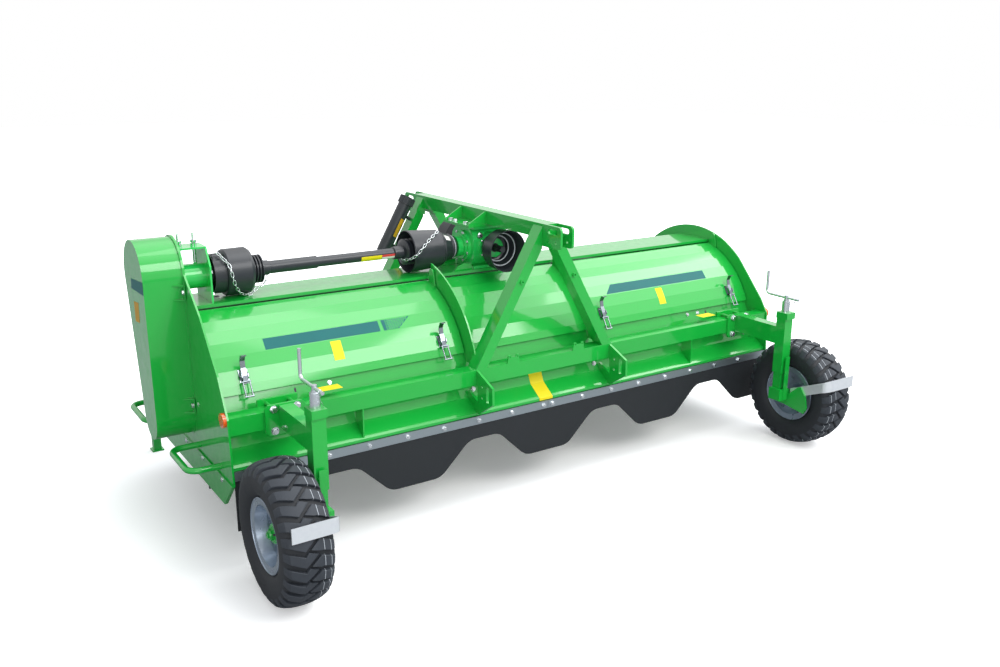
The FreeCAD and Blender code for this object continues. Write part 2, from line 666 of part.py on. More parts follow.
def make_input_guard():
    """Plastic bell round an input stub, screwed to the gearbox neck, with a wire ring at its mouth."""
    start = -GEARBOX_DEPTH / 2 - 12.3
    end = -INPUT_GUARD_END
    r = INPUT_GUARD_R
    profile = [(start, 50), (start, 68), (start - 10, 72), (start - 14, 72), (start - 62, r - 8),
               (start - 66, r - 4), (end, r), (end, r - 4), (start - 68, r - 8), (start - 70, r - 14),
               (start - 62, r - 14), (start - 16, 68), (start - 12, 60), (start - 12, 50)]
    return turned(profile, vec(0, 0, SHAFT_Z), vec(0, 1, 0))


HOUSING_R = 56.0


def make_cross_shaft():
    """Shaft between the gearbox and the belt drive, with a joint yoke at each end."""
    shaft = rod(vec(-BODY_HALF, 0, SHAFT_Z), vec(-GEARBOX_WIDTH / 2 + 10, 0, SHAFT_Z), SHAFT_R)
    yokes = []
    for x in (-HOUSING_END + 12, -GEARBOX_WIDTH / 2 - 57 - 90):
        yokes.append(rod(vec(x, 0, SHAFT_Z), vec(x + 90, 0, SHAFT_Z), 38))
    return fused(shaft, *yokes)


BRACKET_UP = 137.0           # top of the strap above the shaft
BRACKET_SHOULDER = 55.0
BRACKET_NECK = 58.0
BRACKET_WIDE = 108.0
BRACKET_PLATE = 8.0
TENSION_ROD_IN = (26.0, 92.0)  # the two tension rods, in from the side plate
TENSION_ROD_R = 7.0


def make_bearing_housing():
    """Tube that carries the driven end of the cross shaft, held by a bent strap with tension rods."""
    start = vec(-BODY_HALF, 0, SHAFT_Z)
    end = vec(-HOUSING_END, 0, SHAFT_Z)
    housing = tube(start, end, HOUSING_R, SHAFT_R + RUNNING)
    x0 = -HOUSING_END
    x1 = x0 + BRACKET_PLATE
    foot = CROWN_TOP + SEAT
    top = SHAFT_Z + BRACKET_UP
    shoulder = SHAFT_Z + BRACKET_SHOULDER
    cheek = [(-BRACKET_WIDE, foot), (-BRACKET_WIDE, shoulder), (-BRACKET_NECK, top), (BRACKET_NECK, top),
             (BRACKET_WIDE, shoulder), (BRACKET_WIDE, foot)]
    opening = rod(vec(x0, 0, SHAFT_Z), vec(x1, 0, SHAFT_Z), 44)
    bridge = box(-BODY_HALF, x1, -BRACKET_NECK, BRACKET_NECK, top - BRACKET_PLATE, top)
    strap = bridge.fuse(prism_x(cheek, x0, x1).cut(opening))
    for inwards in TENSION_ROD_IN:
        x = inwards - BODY_HALF
        strap = strap.fuse(rod(vec(x, 0, SHAFT_Z + HOUSING_R - 4), vec(x, 0, top + 55), TENSION_ROD_R))
        for nut in (top, top + 14):
            strap = strap.fuse(rod(vec(x, 0, nut), vec(x, 0, nut + 10), TENSION_ROD_R + 6))
    return fused(housing, strap)


GUARD_WALL = 4.0
GUARD_TUBE_R = 30.0
INNER_TUBE_R = 25.0
BELLOWS_R = 66.0
COLLAR_R = 90.0              # collar of the left cup
GUARD_NECK_R = 34.0
GUARD_JOIN = 930.0            # end of the outer tube, left of the middle


def bellows(start, end, rings, small, large):
    """Outer profile of a ribbed collar: one ridge a ring, as (along, radius)."""
    step = (end - start) / rings
    points = []
    for n in range(rings):
        a = start + n * step
        points += [(a, small), (a + step * 0.25, large), (a + step * 0.6, large), (a + step * 0.85, small)]
    return points


def make_shaft_guard_left():
    """Plastic guard over the driven joint: two nested cups, a ribbed collar and the outer tube."""
    w = GUARD_WALL
    e = -HOUSING_END
    outer = [(e + 30, COLLAR_R), (e + 84, COLLAR_R + 1), (e + 86, CUP_R - 6), (e + 94, CUP_R - 1),
             (e + 194, CUP_R), (e + 208, CUP_R - 10), (e + 212, 60)]
    outer += bellows(e + 212, e + 268, 4, 56, BELLOWS_R)
    outer += [(e + 270, GUARD_NECK_R + 2), (e + 300, GUARD_NECK_R), (e + 302, GUARD_TUBE_R),
              (-GUARD_JOIN, GUARD_TUBE_R)]
    inner = [(-GUARD_JOIN, GUARD_TUBE_R - w), (e + 238, GUARD_TUBE_R - w), (e + 238, SHAFT_R + RUNNING),
             (e + 226, SHAFT_R + RUNNING), (e + 226, 52), (e + 208, 52), (e + 202, CUP_R - 14),
             (e + 190, CUP_R - w), (e + 96, CUP_R - 1 - w), (e + 88, COLLAR_R - 3), (e + 30, COLLAR_R - w)]
    return turned(outer + inner, vec(0, 0, SHAFT_Z), vec(1, 0, 0))


def make_shaft_guard_right():
    """Plastic guard over the gearbox joint: inner tube, ribbed collar and a wide bell."""
    w = GUARD_WALL
    outer = [(-1000, INNER_TUBE_R), (-520, INNER_TUBE_R), (-518, 32), (-470, 34), (-468, 46)]
    outer += bellows(-466, -386, 4, 54, BELLOWS_R)
    outer += [(-384, 84), (-446, CUP_R - 3), (-442, CUP_R), (-270, 96), (-262, 88), (-256, 90), (-250, 84),
              (-205, 66), (-196, 69), (-186, 60), (-178, 60), (-178, 56)]
    inner = [(-200, 56), (-252, 78), (-272, 91), (-366, 97), (-372, 80), (-374, 50), (-470, 30),
             (-486, SHAFT_R + RUNNING), (-500, SHAFT_R + RUNNING), (-506, INNER_TUBE_R - w),
             (-1000, INNER_TUBE_R - w)]
    return turned(outer + inner, vec(0, 0, SHAFT_Z), vec(1, 0, 0))


CHAIN_PITCH = 20.0
CHAIN_WIRE = 3.0
CHAIN_HALF = 5.0             # half of a link's width
CHAIN_CORNER = 2.5
CHAIN_LAP = 0.2              # how far each link runs into its joint with the next
CHAIN_CLIP = 6.0


def spaced(points, pitch):
    """Points at an even spacing along a line of straight pieces."""
    pieces = list(zip(points, points[1:]))
    total = sum((b - a).Length for a, b in pieces)
    count = round(total / pitch)
    places = [points[0]]
    for n in range(1, count):
        left = total * n / count
        for a, b in pieces:
            length = (b - a).Length
            if left <= length:
                places.append(a + (b - a) * (left / length))
                break
            left -= length
    return places + [points[-1]]


def chain_link(start, end, across):
    """Link between two joints of a chain; across is the direction in which it is wide."""
    u = (end - start).normalize()
    v = (across - u * across.dot(u)).normalize()
    w = u.cross(v)
    middle = (start + end) * 0.5
    long = (end - start).Length / 2 - CHAIN_LAP
    reach = long + CHAIN_WIRE
    corner = CHAIN_CORNER
    outer = [(reach, CHAIN_HALF - corner), (reach - corner, CHAIN_HALF), (corner - reach, CHAIN_HALF),
             (-reach, CHAIN_HALF - corner), (-reach, corner - CHAIN_HALF), (corner - reach, -CHAIN_HALF),
             (reach - corner, -CHAIN_HALF), (reach, corner - CHAIN_HALF)]
    half = CHAIN_HALF - CHAIN_WIRE
    inner = [(long, half), (-long, half), (-long, -half), (long, -half)]
    low = middle - w * (CHAIN_WIRE / 2)
    ring, hole = (prism([low + u * a + v * b for a, b in line], w * CHAIN_WIRE) for line in (outer, inner))
    return ring.cut(hole)


def chain_clip(foot, head):
    """Square clip that holds an end of a chain to its guard."""
    u = (head - foot).normalize()
    v = vec(1, 0, 0)
    w = u.cross(v)
    h = CHAIN_CLIP / 2
    return prism([foot + v * a + w * b for a, b in ((h, h), (-h, h), (-h, -h), (h, -h))], head - foot)


def guard_chain(line, foot_radius, end_radius):
    """Chain that keeps a guard from turning; line is (x, y, height over the shaft) from clip to clip."""
    points = [vec(x, y, SHAFT_Z + z) for x, y, z in line]
    places = spaced(points, CHAIN_PITCH)
    links = []
    for n, (start, end) in enumerate(zip(places, places[1:])):
        outwards = vec(0, start.y + end.y, start.z + end.z - 2 * SHAFT_Z)
        links.append(chain_link(start, end, outwards if n % 2 else outwards.cross(end - start)))
    for head, radius in ((points[0], foot_radius), (points[-1], end_radius)):
        away = vec(0, head.y, head.z - SHAFT_Z).normalize()
        links.append(chain_clip(vec(head.x, 0, SHAFT_Z) + away * radius, head + away * CHAIN_WIRE))
    return fused(*links)


def make_guard_chains():
    e = -HOUSING_END
    left = [(e + 57, -39, 101), (e + 90, -101, 53), (e + 94, -114, 22), (e + 98, -117, -6),
            (e + 110, -109, -47), (e + 136, -86, -84), (e + 172, -57, -103), (e + 207, -44, -103),
            (e + 220, -38, -86), (e + 248, -28, -78), (e + 275, -22, -66), (e + 292, -10, -40)]
    right = [(-289, -54, 98), (-355, -88, 67), (-409, -112, 32), (-441, -115, 1), (-464, -95, -19),
             (-470, -60, -30), (-484, -29, -33)]
    return Part.makeCompound([guard_chain(left, COLLAR_R + 0.6 + SEAT, GUARD_NECK_R + 0.8 + SEAT),
                              guard_chain(right, CUP_R - 10 + SEAT, GUARD_NECK_R - 0.4 + SEAT)])


def cover_outline(x, grow):
    """Closed outline of the belt cover: two arcs joined by their outer tangents."""
    top = (0.0, COVER_TOP_Z, COVER_TOP_R + grow)
    low = (ROTOR_Y, ROTOR_Z, COVER_LOW_R + grow)
    dy = low[0] - top[0]
    dz = low[1] - top[1]
    heading = math.atan2(dz, dy)
    spread = math.acos((top[2] - low[2]) / math.hypot(dy, dz))
    points = []
    for y, z, r in (top, low):
        for side in (-1, 1):
            a = heading + side * spread
            points.append(vec(x, y + r * math.cos(a), z + r * math.sin(a)))
    far_top = vec(x, top[0] - top[2] * math.cos(heading), top[1] - top[2] * math.sin(heading))
    far_low = vec(x, low[0] + low[2] * math.cos(heading), low[1] + low[2] * math.sin(heading))
    edges = [Part.Arc(points[0], far_top, points[1]).toShape(),
             Part.Arc(points[2], far_low, points[3]).toShape(),
             Part.LineSegment(points[0], points[2]).toShape(),
             Part.LineSegment(points[1], points[3]).toShape()]
    return Part.Face(Part.Wire(Part.__sortEdges__(edges)))


TAB_LEVELS = (COVER_TOP_Z - 55.0, ROTOR_Z + 60.0)  # two bolted tabs on the belt cover
COVER_TAB_HALF = 33.0
COVER_TAB_OUT = 26.0
COVER_TAB_LONG = 48.0


def make_cover_tab(z):
    """Channel-shaped tab on the rear band of the cover: a web and two tapered flanges."""
    x1 = -PLATE_OUT - 3
    y1 = -COVER_TOP_R
    h = COVER_TAB_HALF
    web = box(x1 - 4, x1, y1 - COVER_TAB_OUT, y1, z - h, z + h)
    web = web.cut(rod(vec(x1 - 4, y1 - 15, z), vec(x1, y1 - 15, z), 7))
    parts = []
    for low in (z - h, z + h - 4):
        corners = [vec(x1, y1, low), vec(x1 - COVER_TAB_LONG, y1, low), vec(x1 - 4, y1 - COVER_TAB_OUT, low),
                   vec(x1, y1 - COVER_TAB_OUT, low)]
        parts.append(prism(corners, vec(0, 0, 4)))
    return web.multiFuse(parts)


def make_belt_cover():
    """Pressed cover of the belt drive, open towards the side plate, with a turned-out rim."""
    width = COVER_LEFT - PLATE_OUT
    shell = cover_outline(-COVER_LEFT, 0).extrude(vec(width, 0, 0))
    rim = cover_outline(-PLATE_OUT - COVER_WALL, 6).extrude(vec(COVER_WALL, 0, 0))
    room = cover_outline(-COVER_LEFT + COVER_WALL, -COVER_WALL).extrude(vec(width, 0, 0))
    tabs = [make_cover_tab(z) for z in TAB_LEVELS]
    return fused(shell, rim, *tabs).cut(room)


# ---- rotor --------------------------------------------------------------------------------
def make_rotor():
    """Flail rotor: tube, end shafts and rows of flails, longer where the ground is lower."""
    end = BODY_HALF - 32
    body = rod(vec(-end, ROTOR_Y, ROTOR_Z), vec(end, ROTOR_Y, ROTOR_Z), ROTOR_TUBE_R)
    shaft = rod(vec(-BODY_HALF, ROTOR_Y, ROTOR_Z), vec(BODY_HALF, ROTOR_Y, ROTOR_Z), ROTOR_SHAFT_R)
    pitch = 2 * (end - FLAIL_WIDTH) / (FLAILS_PER_ROW * FLAIL_ROWS - 1)
    flails = []
    for n in range(FLAILS_PER_ROW * FLAIL_ROWS):
        x = -end + FLAIL_WIDTH + n * pitch
        tip = ROTOR_Z - flap_edge(x) + FLAIL_BELOW_FLAP
        flail = box(x - FLAIL_WIDTH / 2, x + FLAIL_WIDTH / 2, -FLAIL_THICK / 2, FLAIL_THICK / 2,
                    -tip, -ROTOR_TUBE_R + 12)
        flail.rotate(vec(0, 0, 0), vec(1, 0, 0), 360.0 / FLAIL_ROWS * n)
        flail.translate(vec(0, ROTOR_Y, ROTOR_Z))
        flails.append(flail)
    return fused(body, shaft, *flails)


def make_rotor_bearings():
    start = vec(BODY_HALF - 24, ROTOR_Y, ROTOR_Z)
    housing = tube(start, vec(BODY_HALF, ROTOR_Y, ROTOR_Z), 62, ROTOR_SHAFT_R + RUNNING)
    return both_sides(housing)


# ---- wheels and their arms ----------------------------------------------------------------
CLAMP_HALF = 88.0
CLAMP_PLATE = 12.0
CLAMP_OVER = 28.5
CLAMP_CHAMFER = 14.0
CLAMP_BOLT_R = 8.0
CLAMP_BOLT_OFF = 2.0         # between a bolt and the beam
CLAMP_BOLT = 50.0            # bolts of a clamp, from its middle
ARM_OVER = 25.0              # arm above the beam's top
ARM_UNDER = 4.0              # arm above the beam's underside
CAP_OVER = 2.5
CAP_LIP = 30.0
CAP_BACK = 12.0
SCALE_LOW = 430.0
SCALE_HIGH = 482.0


def clamp(x, face):
    """Two plates bolted round a main beam; the outer one carries an arm. face is -1 or +1."""
    low = BEAM_BOTTOM - CLAMP_OVER
    high = BEAM_TOP + CLAMP_OVER
    h = CLAMP_HALF
    cut = CLAMP_CHAMFER
    front = [(x - h, low + cut), (x - h + cut, low), (x + h - cut, low), (x + h, low + cut),
             (x + h, high - cut), (x + h - cut, high), (x - h + cut, high), (x - h, high - cut)]
    plates = [prism_y(front, -BEAM_FACE - CLAMP_PLATE, -BEAM_FACE),
              box(x - h, x + h, -BEAM_BACK, -BEAM_BACK + CLAMP_PLATE, BEAM_BOTTOM, high)]
    for bx in (x - CLAMP_BOLT, x + CLAMP_BOLT):
        start = -BEAM_FACE - CLAMP_PLATE - 11
        top_z = BEAM_TOP + CLAMP_BOLT_OFF + CLAMP_BOLT_R
        low_z = BEAM_BOTTOM - CLAMP_BOLT_OFF - CLAMP_BOLT_R
        end = -BEAM_BACK + CLAMP_PLATE + 14
        plates.append(rod(vec(bx, start, top_z), vec(bx, end, top_z), CLAMP_BOLT_R))
        plates.append(rod(vec(bx, start, low_z), vec(bx, -BEAM_FACE + 42, low_z), CLAMP_BOLT_R))
    solid = plates[0].multiFuse(plates[1:])
    return solid if face < 0 else mirrored_y(solid)


def arm_box(x, width, y0, y1, top, low, wall):
    """Straight rectangular tube along Y."""
    outer = box(x - width / 2, x + width / 2, y0, y1, low, top)
    return outer.cut(box(x - width / 2 + wall, x + width / 2 - wall, y0, y1, low + wall, top - wall))


def make_scale_plate():
    """Blank depth-scale plate, a raised frame on the rear of a sleeve."""
    back = POST_Y - SLEEVE / 2
    plate = box(POST_X - 3, POST_X + 19, back - 3, back, SCALE_LOW, SCALE_HIGH)
    return plate.cut(box(POST_X, POST_X + 16, back - 3, back - 2, SCALE_LOW + 4, SCALE_HIGH - 4))


def make_wheel_arm():
    """Clamped arm and the capped sleeve that a wheel post slides in, right side."""
    half = SLEEVE / 2
    arm = arm_box(POST_X, SLEEVE, POST_Y + half, -BEAM_FACE - CLAMP_PLATE, BEAM_TOP + ARM_OVER,
                  BEAM_BOTTOM + ARM_UNDER, SLEEVE_WALL)
    sleeve = hollow_post(POST_X, POST_Y, SLEEVE_BOTTOM, SLEEVE_TOP, SLEEVE, SLEEVE_WALL)
    over = half + CAP_OVER
    cap = box(POST_X - over, POST_X + over, POST_Y - half - CAP_BACK, POST_Y + over, SLEEVE_TOP - CAP_LIP,
              SLEEVE_TOP + 5)
    inner = half - SLEEVE_WALL
    cap = cap.cut(box(POST_X - inner, POST_X + inner, POST_Y - inner, POST_Y + inner, SLEEVE_TOP - CAP_LIP,
                      SLEEVE_TOP))
    return fused(clamp(POST_X, -1), arm, sleeve, cap, make_scale_plate())


CRANK_Z = 845.0
CRANK_NEAR = -1028.0
CRANK_FAR = -812.0
CRANK_ROD_R = 7.5
GRIP_TOP = 968.0


def make_crank():
    """Spindle tube and the bent crank bar over a wheel post, right side."""
    base = SLEEVE_TOP + 5
    r = CRANK_ROD_R
    bend = 22.0
    start = vec(POST_X, CRANK_NEAR, CRANK_Z)
    corner = vec(POST_X, CRANK_FAR, CRANK_Z)
    before = vec(POST_X, CRANK_FAR - bend, CRANK_Z)
    after = vec(POST_X, CRANK_FAR, CRANK_Z + bend)
    shift = bend * (1 - math.sqrt(0.5))
    middle = vec(POST_X, corner.y - shift, corner.z + shift)
    path = Part.Wire([Part.LineSegment(start, before).toShape(), Part.Arc(before, middle, after).toShape(),
                      Part.LineSegment(after, vec(POST_X, CRANK_FAR, GRIP_TOP)).toShape()])
    ring = Part.Wire(Part.makeCircle(r, start, vec(0, 1, 0)))
    bar = path.makePipeShell([ring], True, False)
    parts = [rod(vec(POST_X, POST_Y, base), vec(POST_X, POST_Y, base + 60), 21),
             rod(vec(POST_X, POST_Y, base + 60), vec(POST_X, POST_Y, CRANK_Z + 12), 11), bar]
    return parts[0].multiFuse(parts[1:])


POST_SIZE = SLEEVE - 2 * SLEEVE_WALL - 2 * SLIDING
POST_BOTTOM = 278.0
POST_TOP = SLEEVE_TOP - 20.0 - POST_TRAVEL_UP
AXLE_PLATE = 10.0
SHOE_LOW = 272.0
SHOE_HIGH = 335.0
SHOE_BACK = 17.5             # how far the shoe under a post stands out behind it
POINTER_OFF = 12.0           # depth pointer behind the sleeve
POINTER_THICK = 4.0
POINTER_HALF = 16.0
POINTER_TOP = 520.0


def make_post():
    """Square post that slides in its sleeve, with the axle plate and the axle, right side."""
    post = hollow_post(POST_X, POST_Y, POST_BOTTOM, POST_TOP, POST_SIZE, 5)
    half = POST_SIZE / 2
    shoe = box(POST_X - half - 17, POST_X + half + 7, POST_Y - half - SHOE_BACK, POST_Y + half + 8,
               SHOE_LOW, SHOE_HIGH)
    x0 = POST_X + half
    outline = [(28, 39), (-35, 11), (-99, 70), (-116, 73), (-151, 21), (-162, -37), (-146, -70),
               (-6, -50), (28, -50)]
    plate = prism_x([(WHEEL_Y + y, TYRE_R + z) for y, z in outline], x0, x0 + AXLE_PLATE)
    axle = rod(vec(x0, WHEEL_Y, TYRE_R), vec(WHEEL_X + 25, WHEEL_Y, TYRE_R), AXLE_R)
    back = POST_Y - SLEEVE / 2 - POINTER_OFF
    pointer = box(POST_X - POINTER_HALF, POST_X + POINTER_HALF, back - POINTER_THICK, back,
                  SHOE_LOW, POINTER_TOP)
    return fused(post, shoe, plate, axle, pointer)


SCRAPER_OFF = 6.5            # between the scraper and the tips of the lugs
SCRAPER_THICK = 6.0
SCRAPER_BEND = 46.0          # outer radius of its bend
SCRAPER_OVER = 80.0          # how far it reaches past the middle of the tyre
SCRAPER_LOW = 382.0
SCRAPER_HIGH = 445.0


def make_scraper():
    """Bent flat bar from the axle plate round to the front of the tyre, right side."""
    x0 = POST_X + POST_SIZE / 2 + AXLE_PLATE
    x1 = x0 + SCRAPER_THICK
    front = WHEEL_Y - math.sqrt(TYRE_R ** 2 - (SCRAPER_LOW - TYRE_R) ** 2) - SCRAPER_OFF
    back = front - SCRAPER_THICK
    end = WHEEL_X + SCRAPER_OVER
    foot = WHEEL_Y - 40
    corners = [vec(x0, foot, 0), vec(x1, foot, 0), vec(x1, front, 0), vec(end, front, 0), vec(end, back, 0),
               vec(x0, back, 0)]
    radii = [0, 0, SCRAPER_BEND - SCRAPER_THICK, 0, 0, SCRAPER_BEND]
    bent = Part.Face(rounded_wire(corners, radii)).extrude(vec(0, 0, SCRAPER_HIGH))
    turn = back + SCRAPER_BEND
    side = [(foot, 280), (foot, 336), (turn, SCRAPER_HIGH - 22), (back, SCRAPER_HIGH), (back, SCRAPER_LOW),
            (turn, SCRAPER_LOW - 15)]
    return bent.common(prism_x(side, x0, end))


BEAD_R = 127.0


LUG_COUNT = 28               # lugs round one half of the tread
LUG_DEPTH = 13.0
LUG_STATIONS = [              # across the tread: from the middle, radius, share of a pitch that the
    (5.0, 0.0, 0.74, 0.30),   # lug covers, and how far it runs ahead, in pitches
    (50.0, 4.0, 0.72, -0.22),
    (84.0, 16.0, 0.62, -0.22),
    (99.0, 52.0, 0.50, -0.22)]
SIDEWALL = [(100.0, 215.0), (91.0, 170.0), (75.7, RIM_FLANGE_R + 2), (72.0, BEAD_R + SEAT)]
SIDEWALL_FACETS = 32


def ring_of(x, radius, angles):
    return [(a, vec(x, -radius * math.sin(a), radius * math.cos(a))) for a in angles]


def facet(a, b, c):
    return Part.Face(Part.makePolygon([a, b, c, a]))


def zipped(first, second):
    """Facets between two closed rings of points, each in the order of its angles."""
    faces = []
    i = 0
    j = 0
    turn = 2 * math.pi
    while i < len(first) or j < len(second):
        a, p = first[i % len(first)]
        b, q = second[j % len(second)]
        next_a, next_p = first[(i + 1) % len(first)]
        next_b, next_q = second[(j + 1) % len(second)]
        next_a += turn * ((i + 1) // len(first))
        next_b += turn * ((j + 1) // len(second))
        if j == len(second) or (i < len(first) and next_a <= next_b):
            faces.append(facet(p, next_p, q))
            i += 1
        else:
            faces.append(facet(p, next_q, q))
            j += 1
    return faces


def lug_rings(side):
    """For each station across one half of the tread: its lug edges on the top and on the floor."""
    rings = []
    pitch = 2 * math.pi / LUG_COUNT
    shift = 0 if side > 0 else pitch / 2
    for x, drop, share, ahead in LUG_STATIONS:
        angles = []
        for n in range(LUG_COUNT):
            middle = n * pitch + shift + ahead * pitch
            angles += [middle - share * pitch / 2, middle + share * pitch / 2]
        top = TYRE_R - drop
        floor = top if x == LUG_STATIONS[-1][0] else top - LUG_DEPTH
        rings.append((ring_of(side * x, top, angles), ring_of(side * x, floor, angles)))
    return rings


def quad(a, b, c, d):
    return [facet(a, b, c), facet(a, c, d)]


def tread_half(rings):
    """Lug tops, the floor between the lugs, and the lugs' walls on one half of the tread."""
    faces = []
    count = 2 * LUG_COUNT
    for (top, floor), (top_out, floor_out) in zip(rings, rings[1:]):
        last = top_out is rings[-1][0]
        for n in range(0, count, 2):
            a, b, after = n, n + 1, (n + 2) % count
            faces += quad(top[a][1], top[b][1], top_out[b][1], top_out[a][1])
            faces += quad(floor[b][1], floor[after][1], floor_out[after][1], floor_out[b][1])
            for edge in (a, b):
                if last:
                    faces.append(facet(top[edge][1], top_out[edge][1], floor[edge][1]))
                else:
                    faces += quad(top[edge][1], top_out[edge][1], floor_out[edge][1], floor[edge][1])
    top, floor = rings[0]
    for n in range(0, count, 2):
        faces += quad(top[n][1], top[n + 1][1], floor[n + 1][1], floor[n][1])
    return faces


def in_turn(ring):
    """A ring of points put in the order of its angles, within one turn."""
    turn = 2 * math.pi
    return sorted(((a % turn, p) for a, p in ring), key=lambda pair: pair[0])


def make_tyre():
    """Tyre with two rows of kinked lugs, right side. All its faces are flat."""
    faces = []
    floors = []
    shoulders = []
    for side in (1, -1):
        rings = lug_rings(side)
        faces += tread_half(rings)
        floors.append(in_turn(rings[0][1]))
        shoulders.append(in_turn(rings[-1][0]))
    faces += zipped(*floors)
    angles = [2 * math.pi * n / SIDEWALL_FACETS for n in range(SIDEWALL_FACETS)]
    round_out = 1 / math.cos(math.pi / SIDEWALL_FACETS)
    beads = []
    for side, ring in zip((1, -1), shoulders):
        for x, radius in SIDEWALL:
            grow = round_out if radius < SIDEWALL[1][1] else 1
            following = ring_of(side * x, radius * grow, angles)
            faces += zipped(ring, following)
            ring = following
        beads.append(ring)
    faces += zipped(*beads)
    tyre = Part.Solid(Part.Shell(faces))
    if tyre.Volume < 0:
        tyre.reverse()
    tyre.translate(vec(WHEEL_X, WHEEL_Y, TYRE_R))
    return tyre


def make_rim():
    """Pressed rim with its disc and hub, right side."""
    outer = [(72, BEAD_R), (76, RIM_FLANGE_R), (RIM_HALF, RIM_FLANGE_R), (78, 122), (30, 112),
             (-30, 112), (-78, 122), (-RIM_HALF, RIM_FLANGE_R), (-76, RIM_FLANGE_R), (-72, BEAD_R)]
    barrel = turned(outer, vec(WHEEL_X, WHEEL_Y, TYRE_R), vec(1, 0, 0))
    disc = [(-6, 30), (-6, 114), (4, 114), (4, 30)]
    hub = [(-46, AXLE_R + RUNNING), (-46, 34), (-6, 42), (20, 42), (20, 34), (34, 30), (34, 12), (26, 12),
           (26, AXLE_R + RUNNING)]
    centre = vec(WHEEL_X, WHEEL_Y, TYRE_R)
    return fused(barrel, turned(disc, centre, vec(1, 0, 0)), turned(hub, centre, vec(1, 0, 0)))


# ---- parking stands -----------------------------------------------------------------------
STAND_WALL = 4.5


def make_stand_arm():
    """Clamped arm and sleeve of a parking stand, right side, in front."""
    arm = arm_box(STAND_X, STAND_SLEEVE, BEAM_FACE + CLAMP_PLATE, STAND_Y - STAND_SLEEVE / 2, BEAM_TOP - 8,
                  BEAM_BOTTOM + 8, STAND_WALL)
    sleeve = hollow_post(STAND_X, STAND_Y, STAND_SLEEVE_BOTTOM, STAND_SLEEVE_TOP, STAND_SLEEVE, STAND_WALL)
    return fused(clamp(BODY_HALF - CLAMP_HALF, 1), arm, sleeve)


def make_stand():
    """Parking stand: square leg on a foot plate, right side."""
    size = STAND_SLEEVE - 2 * STAND_WALL - 2 * SLIDING
    leg = hollow_post(STAND_X, STAND_Y, 8, STAND_SLEEVE_TOP - 30, size, 4)
    half = STAND_FOOT / 2
    foot = box(STAND_X - half, STAND_X + half, STAND_Y - half, STAND_Y + half, 0, 8)
    return fused(leg, foot)


# ---- guards and fittings ------------------------------------------------------------------
HOOP_BEND = 50.0


def make_hoop(side):
    """Bent tube that guards the left end; both of its ends are welded to the side plate."""
    x0 = -PLATE_OUT
    x1 = -PLATE_OUT - HOOP_OUT + HOOP_R
    y0 = side * (HOOP_NEAR + HOOP_R)
    y1 = side * (HOOP_FAR - HOOP_R)
    b = HOOP_BEND
    step = side * b
    bevel = b * (1 - math.sqrt(0.5))
    points = [vec(x0, y0, HOOP_Z), vec(x1 + b, y0, HOOP_Z), vec(x1 + bevel, y0 + side * bevel, HOOP_Z),
              vec(x1, y0 + step, HOOP_Z), vec(x1, y1 - step, HOOP_Z),
              vec(x1 + bevel, y1 - side * bevel, HOOP_Z), vec(x1 + b, y1, HOOP_Z), vec(x0, y1, HOOP_Z)]
    path = Part.Wire([Part.LineSegment(points[0], points[1]).toShape(),
                      Part.Arc(points[1], points[2], points[3]).toShape(),
                      Part.LineSegment(points[3], points[4]).toShape(),
                      Part.Arc(points[4], points[5], points[6]).toShape(),
                      Part.LineSegment(points[6], points[7]).toShape()])
    ring = Part.Wire(Part.makeCircle(HOOP_R, points[0], vec(1, 0, 0)))
    return path.makePipeShell([ring], True, True)


def make_guard_hoops():
    return Part.makeCompound([make_hoop(-1), make_hoop(1)])


LATCH_IN = 120.0             # latch from the dividing rib
LATCH_OUT = 132.0            # latch from the side plate
LATCH_PLATE = 4.0
LATCH_BAR_R = 3.5
LATCH_WIRE_R = 3.0


def make_latch(x):
    """Over-centre latch on a door's lowest facet: base with two ears, lever and pull loop, right side."""
    base = Part.makeBox(40, LATCH_PLATE, 56, vec(-20, -LATCH_PLATE, -24))
    ear = prism_x([(-2, -20), (-2, 30), (-26, 8), (-26, -8)], -15, -12)
    bar = [(-16, -34), (-22, 0), (-20, 34), (-30, 62), (-52, 78), (-66, 72)]
    lever = prism_x(thick_line(bar, LATCH_PLATE), -11, 11)
    pin = rod(vec(-18, -18, 0), vec(18, -18, 0), LATCH_PLATE)
    loop = [rod(vec(side * 15, -20, -26), vec(side * 15, -22, -92), LATCH_WIRE_R) for side in (-1, 1)]
    loop += [rod(vec(-20, y, z), vec(20, y, z), LATCH_BAR_R) for y, z in ((-20, -26), (-22, -92))]
    latch = fused(base, ear, mirrored_x(ear), lever, pin, *loop)
    angle = FOLD_FIRST + FOLD_STEP / 2
    latch.rotate(vec(0, 0, 0), vec(1, 0, 0), -angle)
    y, z = hood_point(angle, HOOD_R * math.cos(math.radians(FOLD_STEP / 2)) + SEAT)
    latch.translate(vec(x, y, z))
    return latch


def make_latches():
    return Part.makeCompound([make_latch(RIB_X + LATCH_IN), make_latch(BODY_HALF - LATCH_OUT)])


CANISTER_R = 38.0
CANISTER_OFF = 30.0           # space between the leg and the canister


def make_canister():
    """Document canister with a screw cap, strapped to the front left leg."""
    foot = vec(-LEG_FOOT_X, BEAM_FACE - BEAM / 2, BEAM_TOP)
    head = vec(-TOP_BEAM_WIDTH / 2, BEAM_FACE - BEAM / 2, LEG_TOP_Z)
    along = (head - foot).normalize()
    away = vec(-along.z, 0, along.x).normalize()
    low = foot + along * 370 + away * (CANISTER_R + CANISTER_OFF)
    high = low + along * 330
    body = rod(low, high, CANISTER_R)
    cap = rod(high - along * 30, high + along * 14, CANISTER_R + 5)
    reach = away * (CANISTER_R + CANISTER_OFF)
    clips = [rod(low + along * a, low + along * a - reach, 9) for a in (60, 240)]
    return fused(body, cap, *clips)


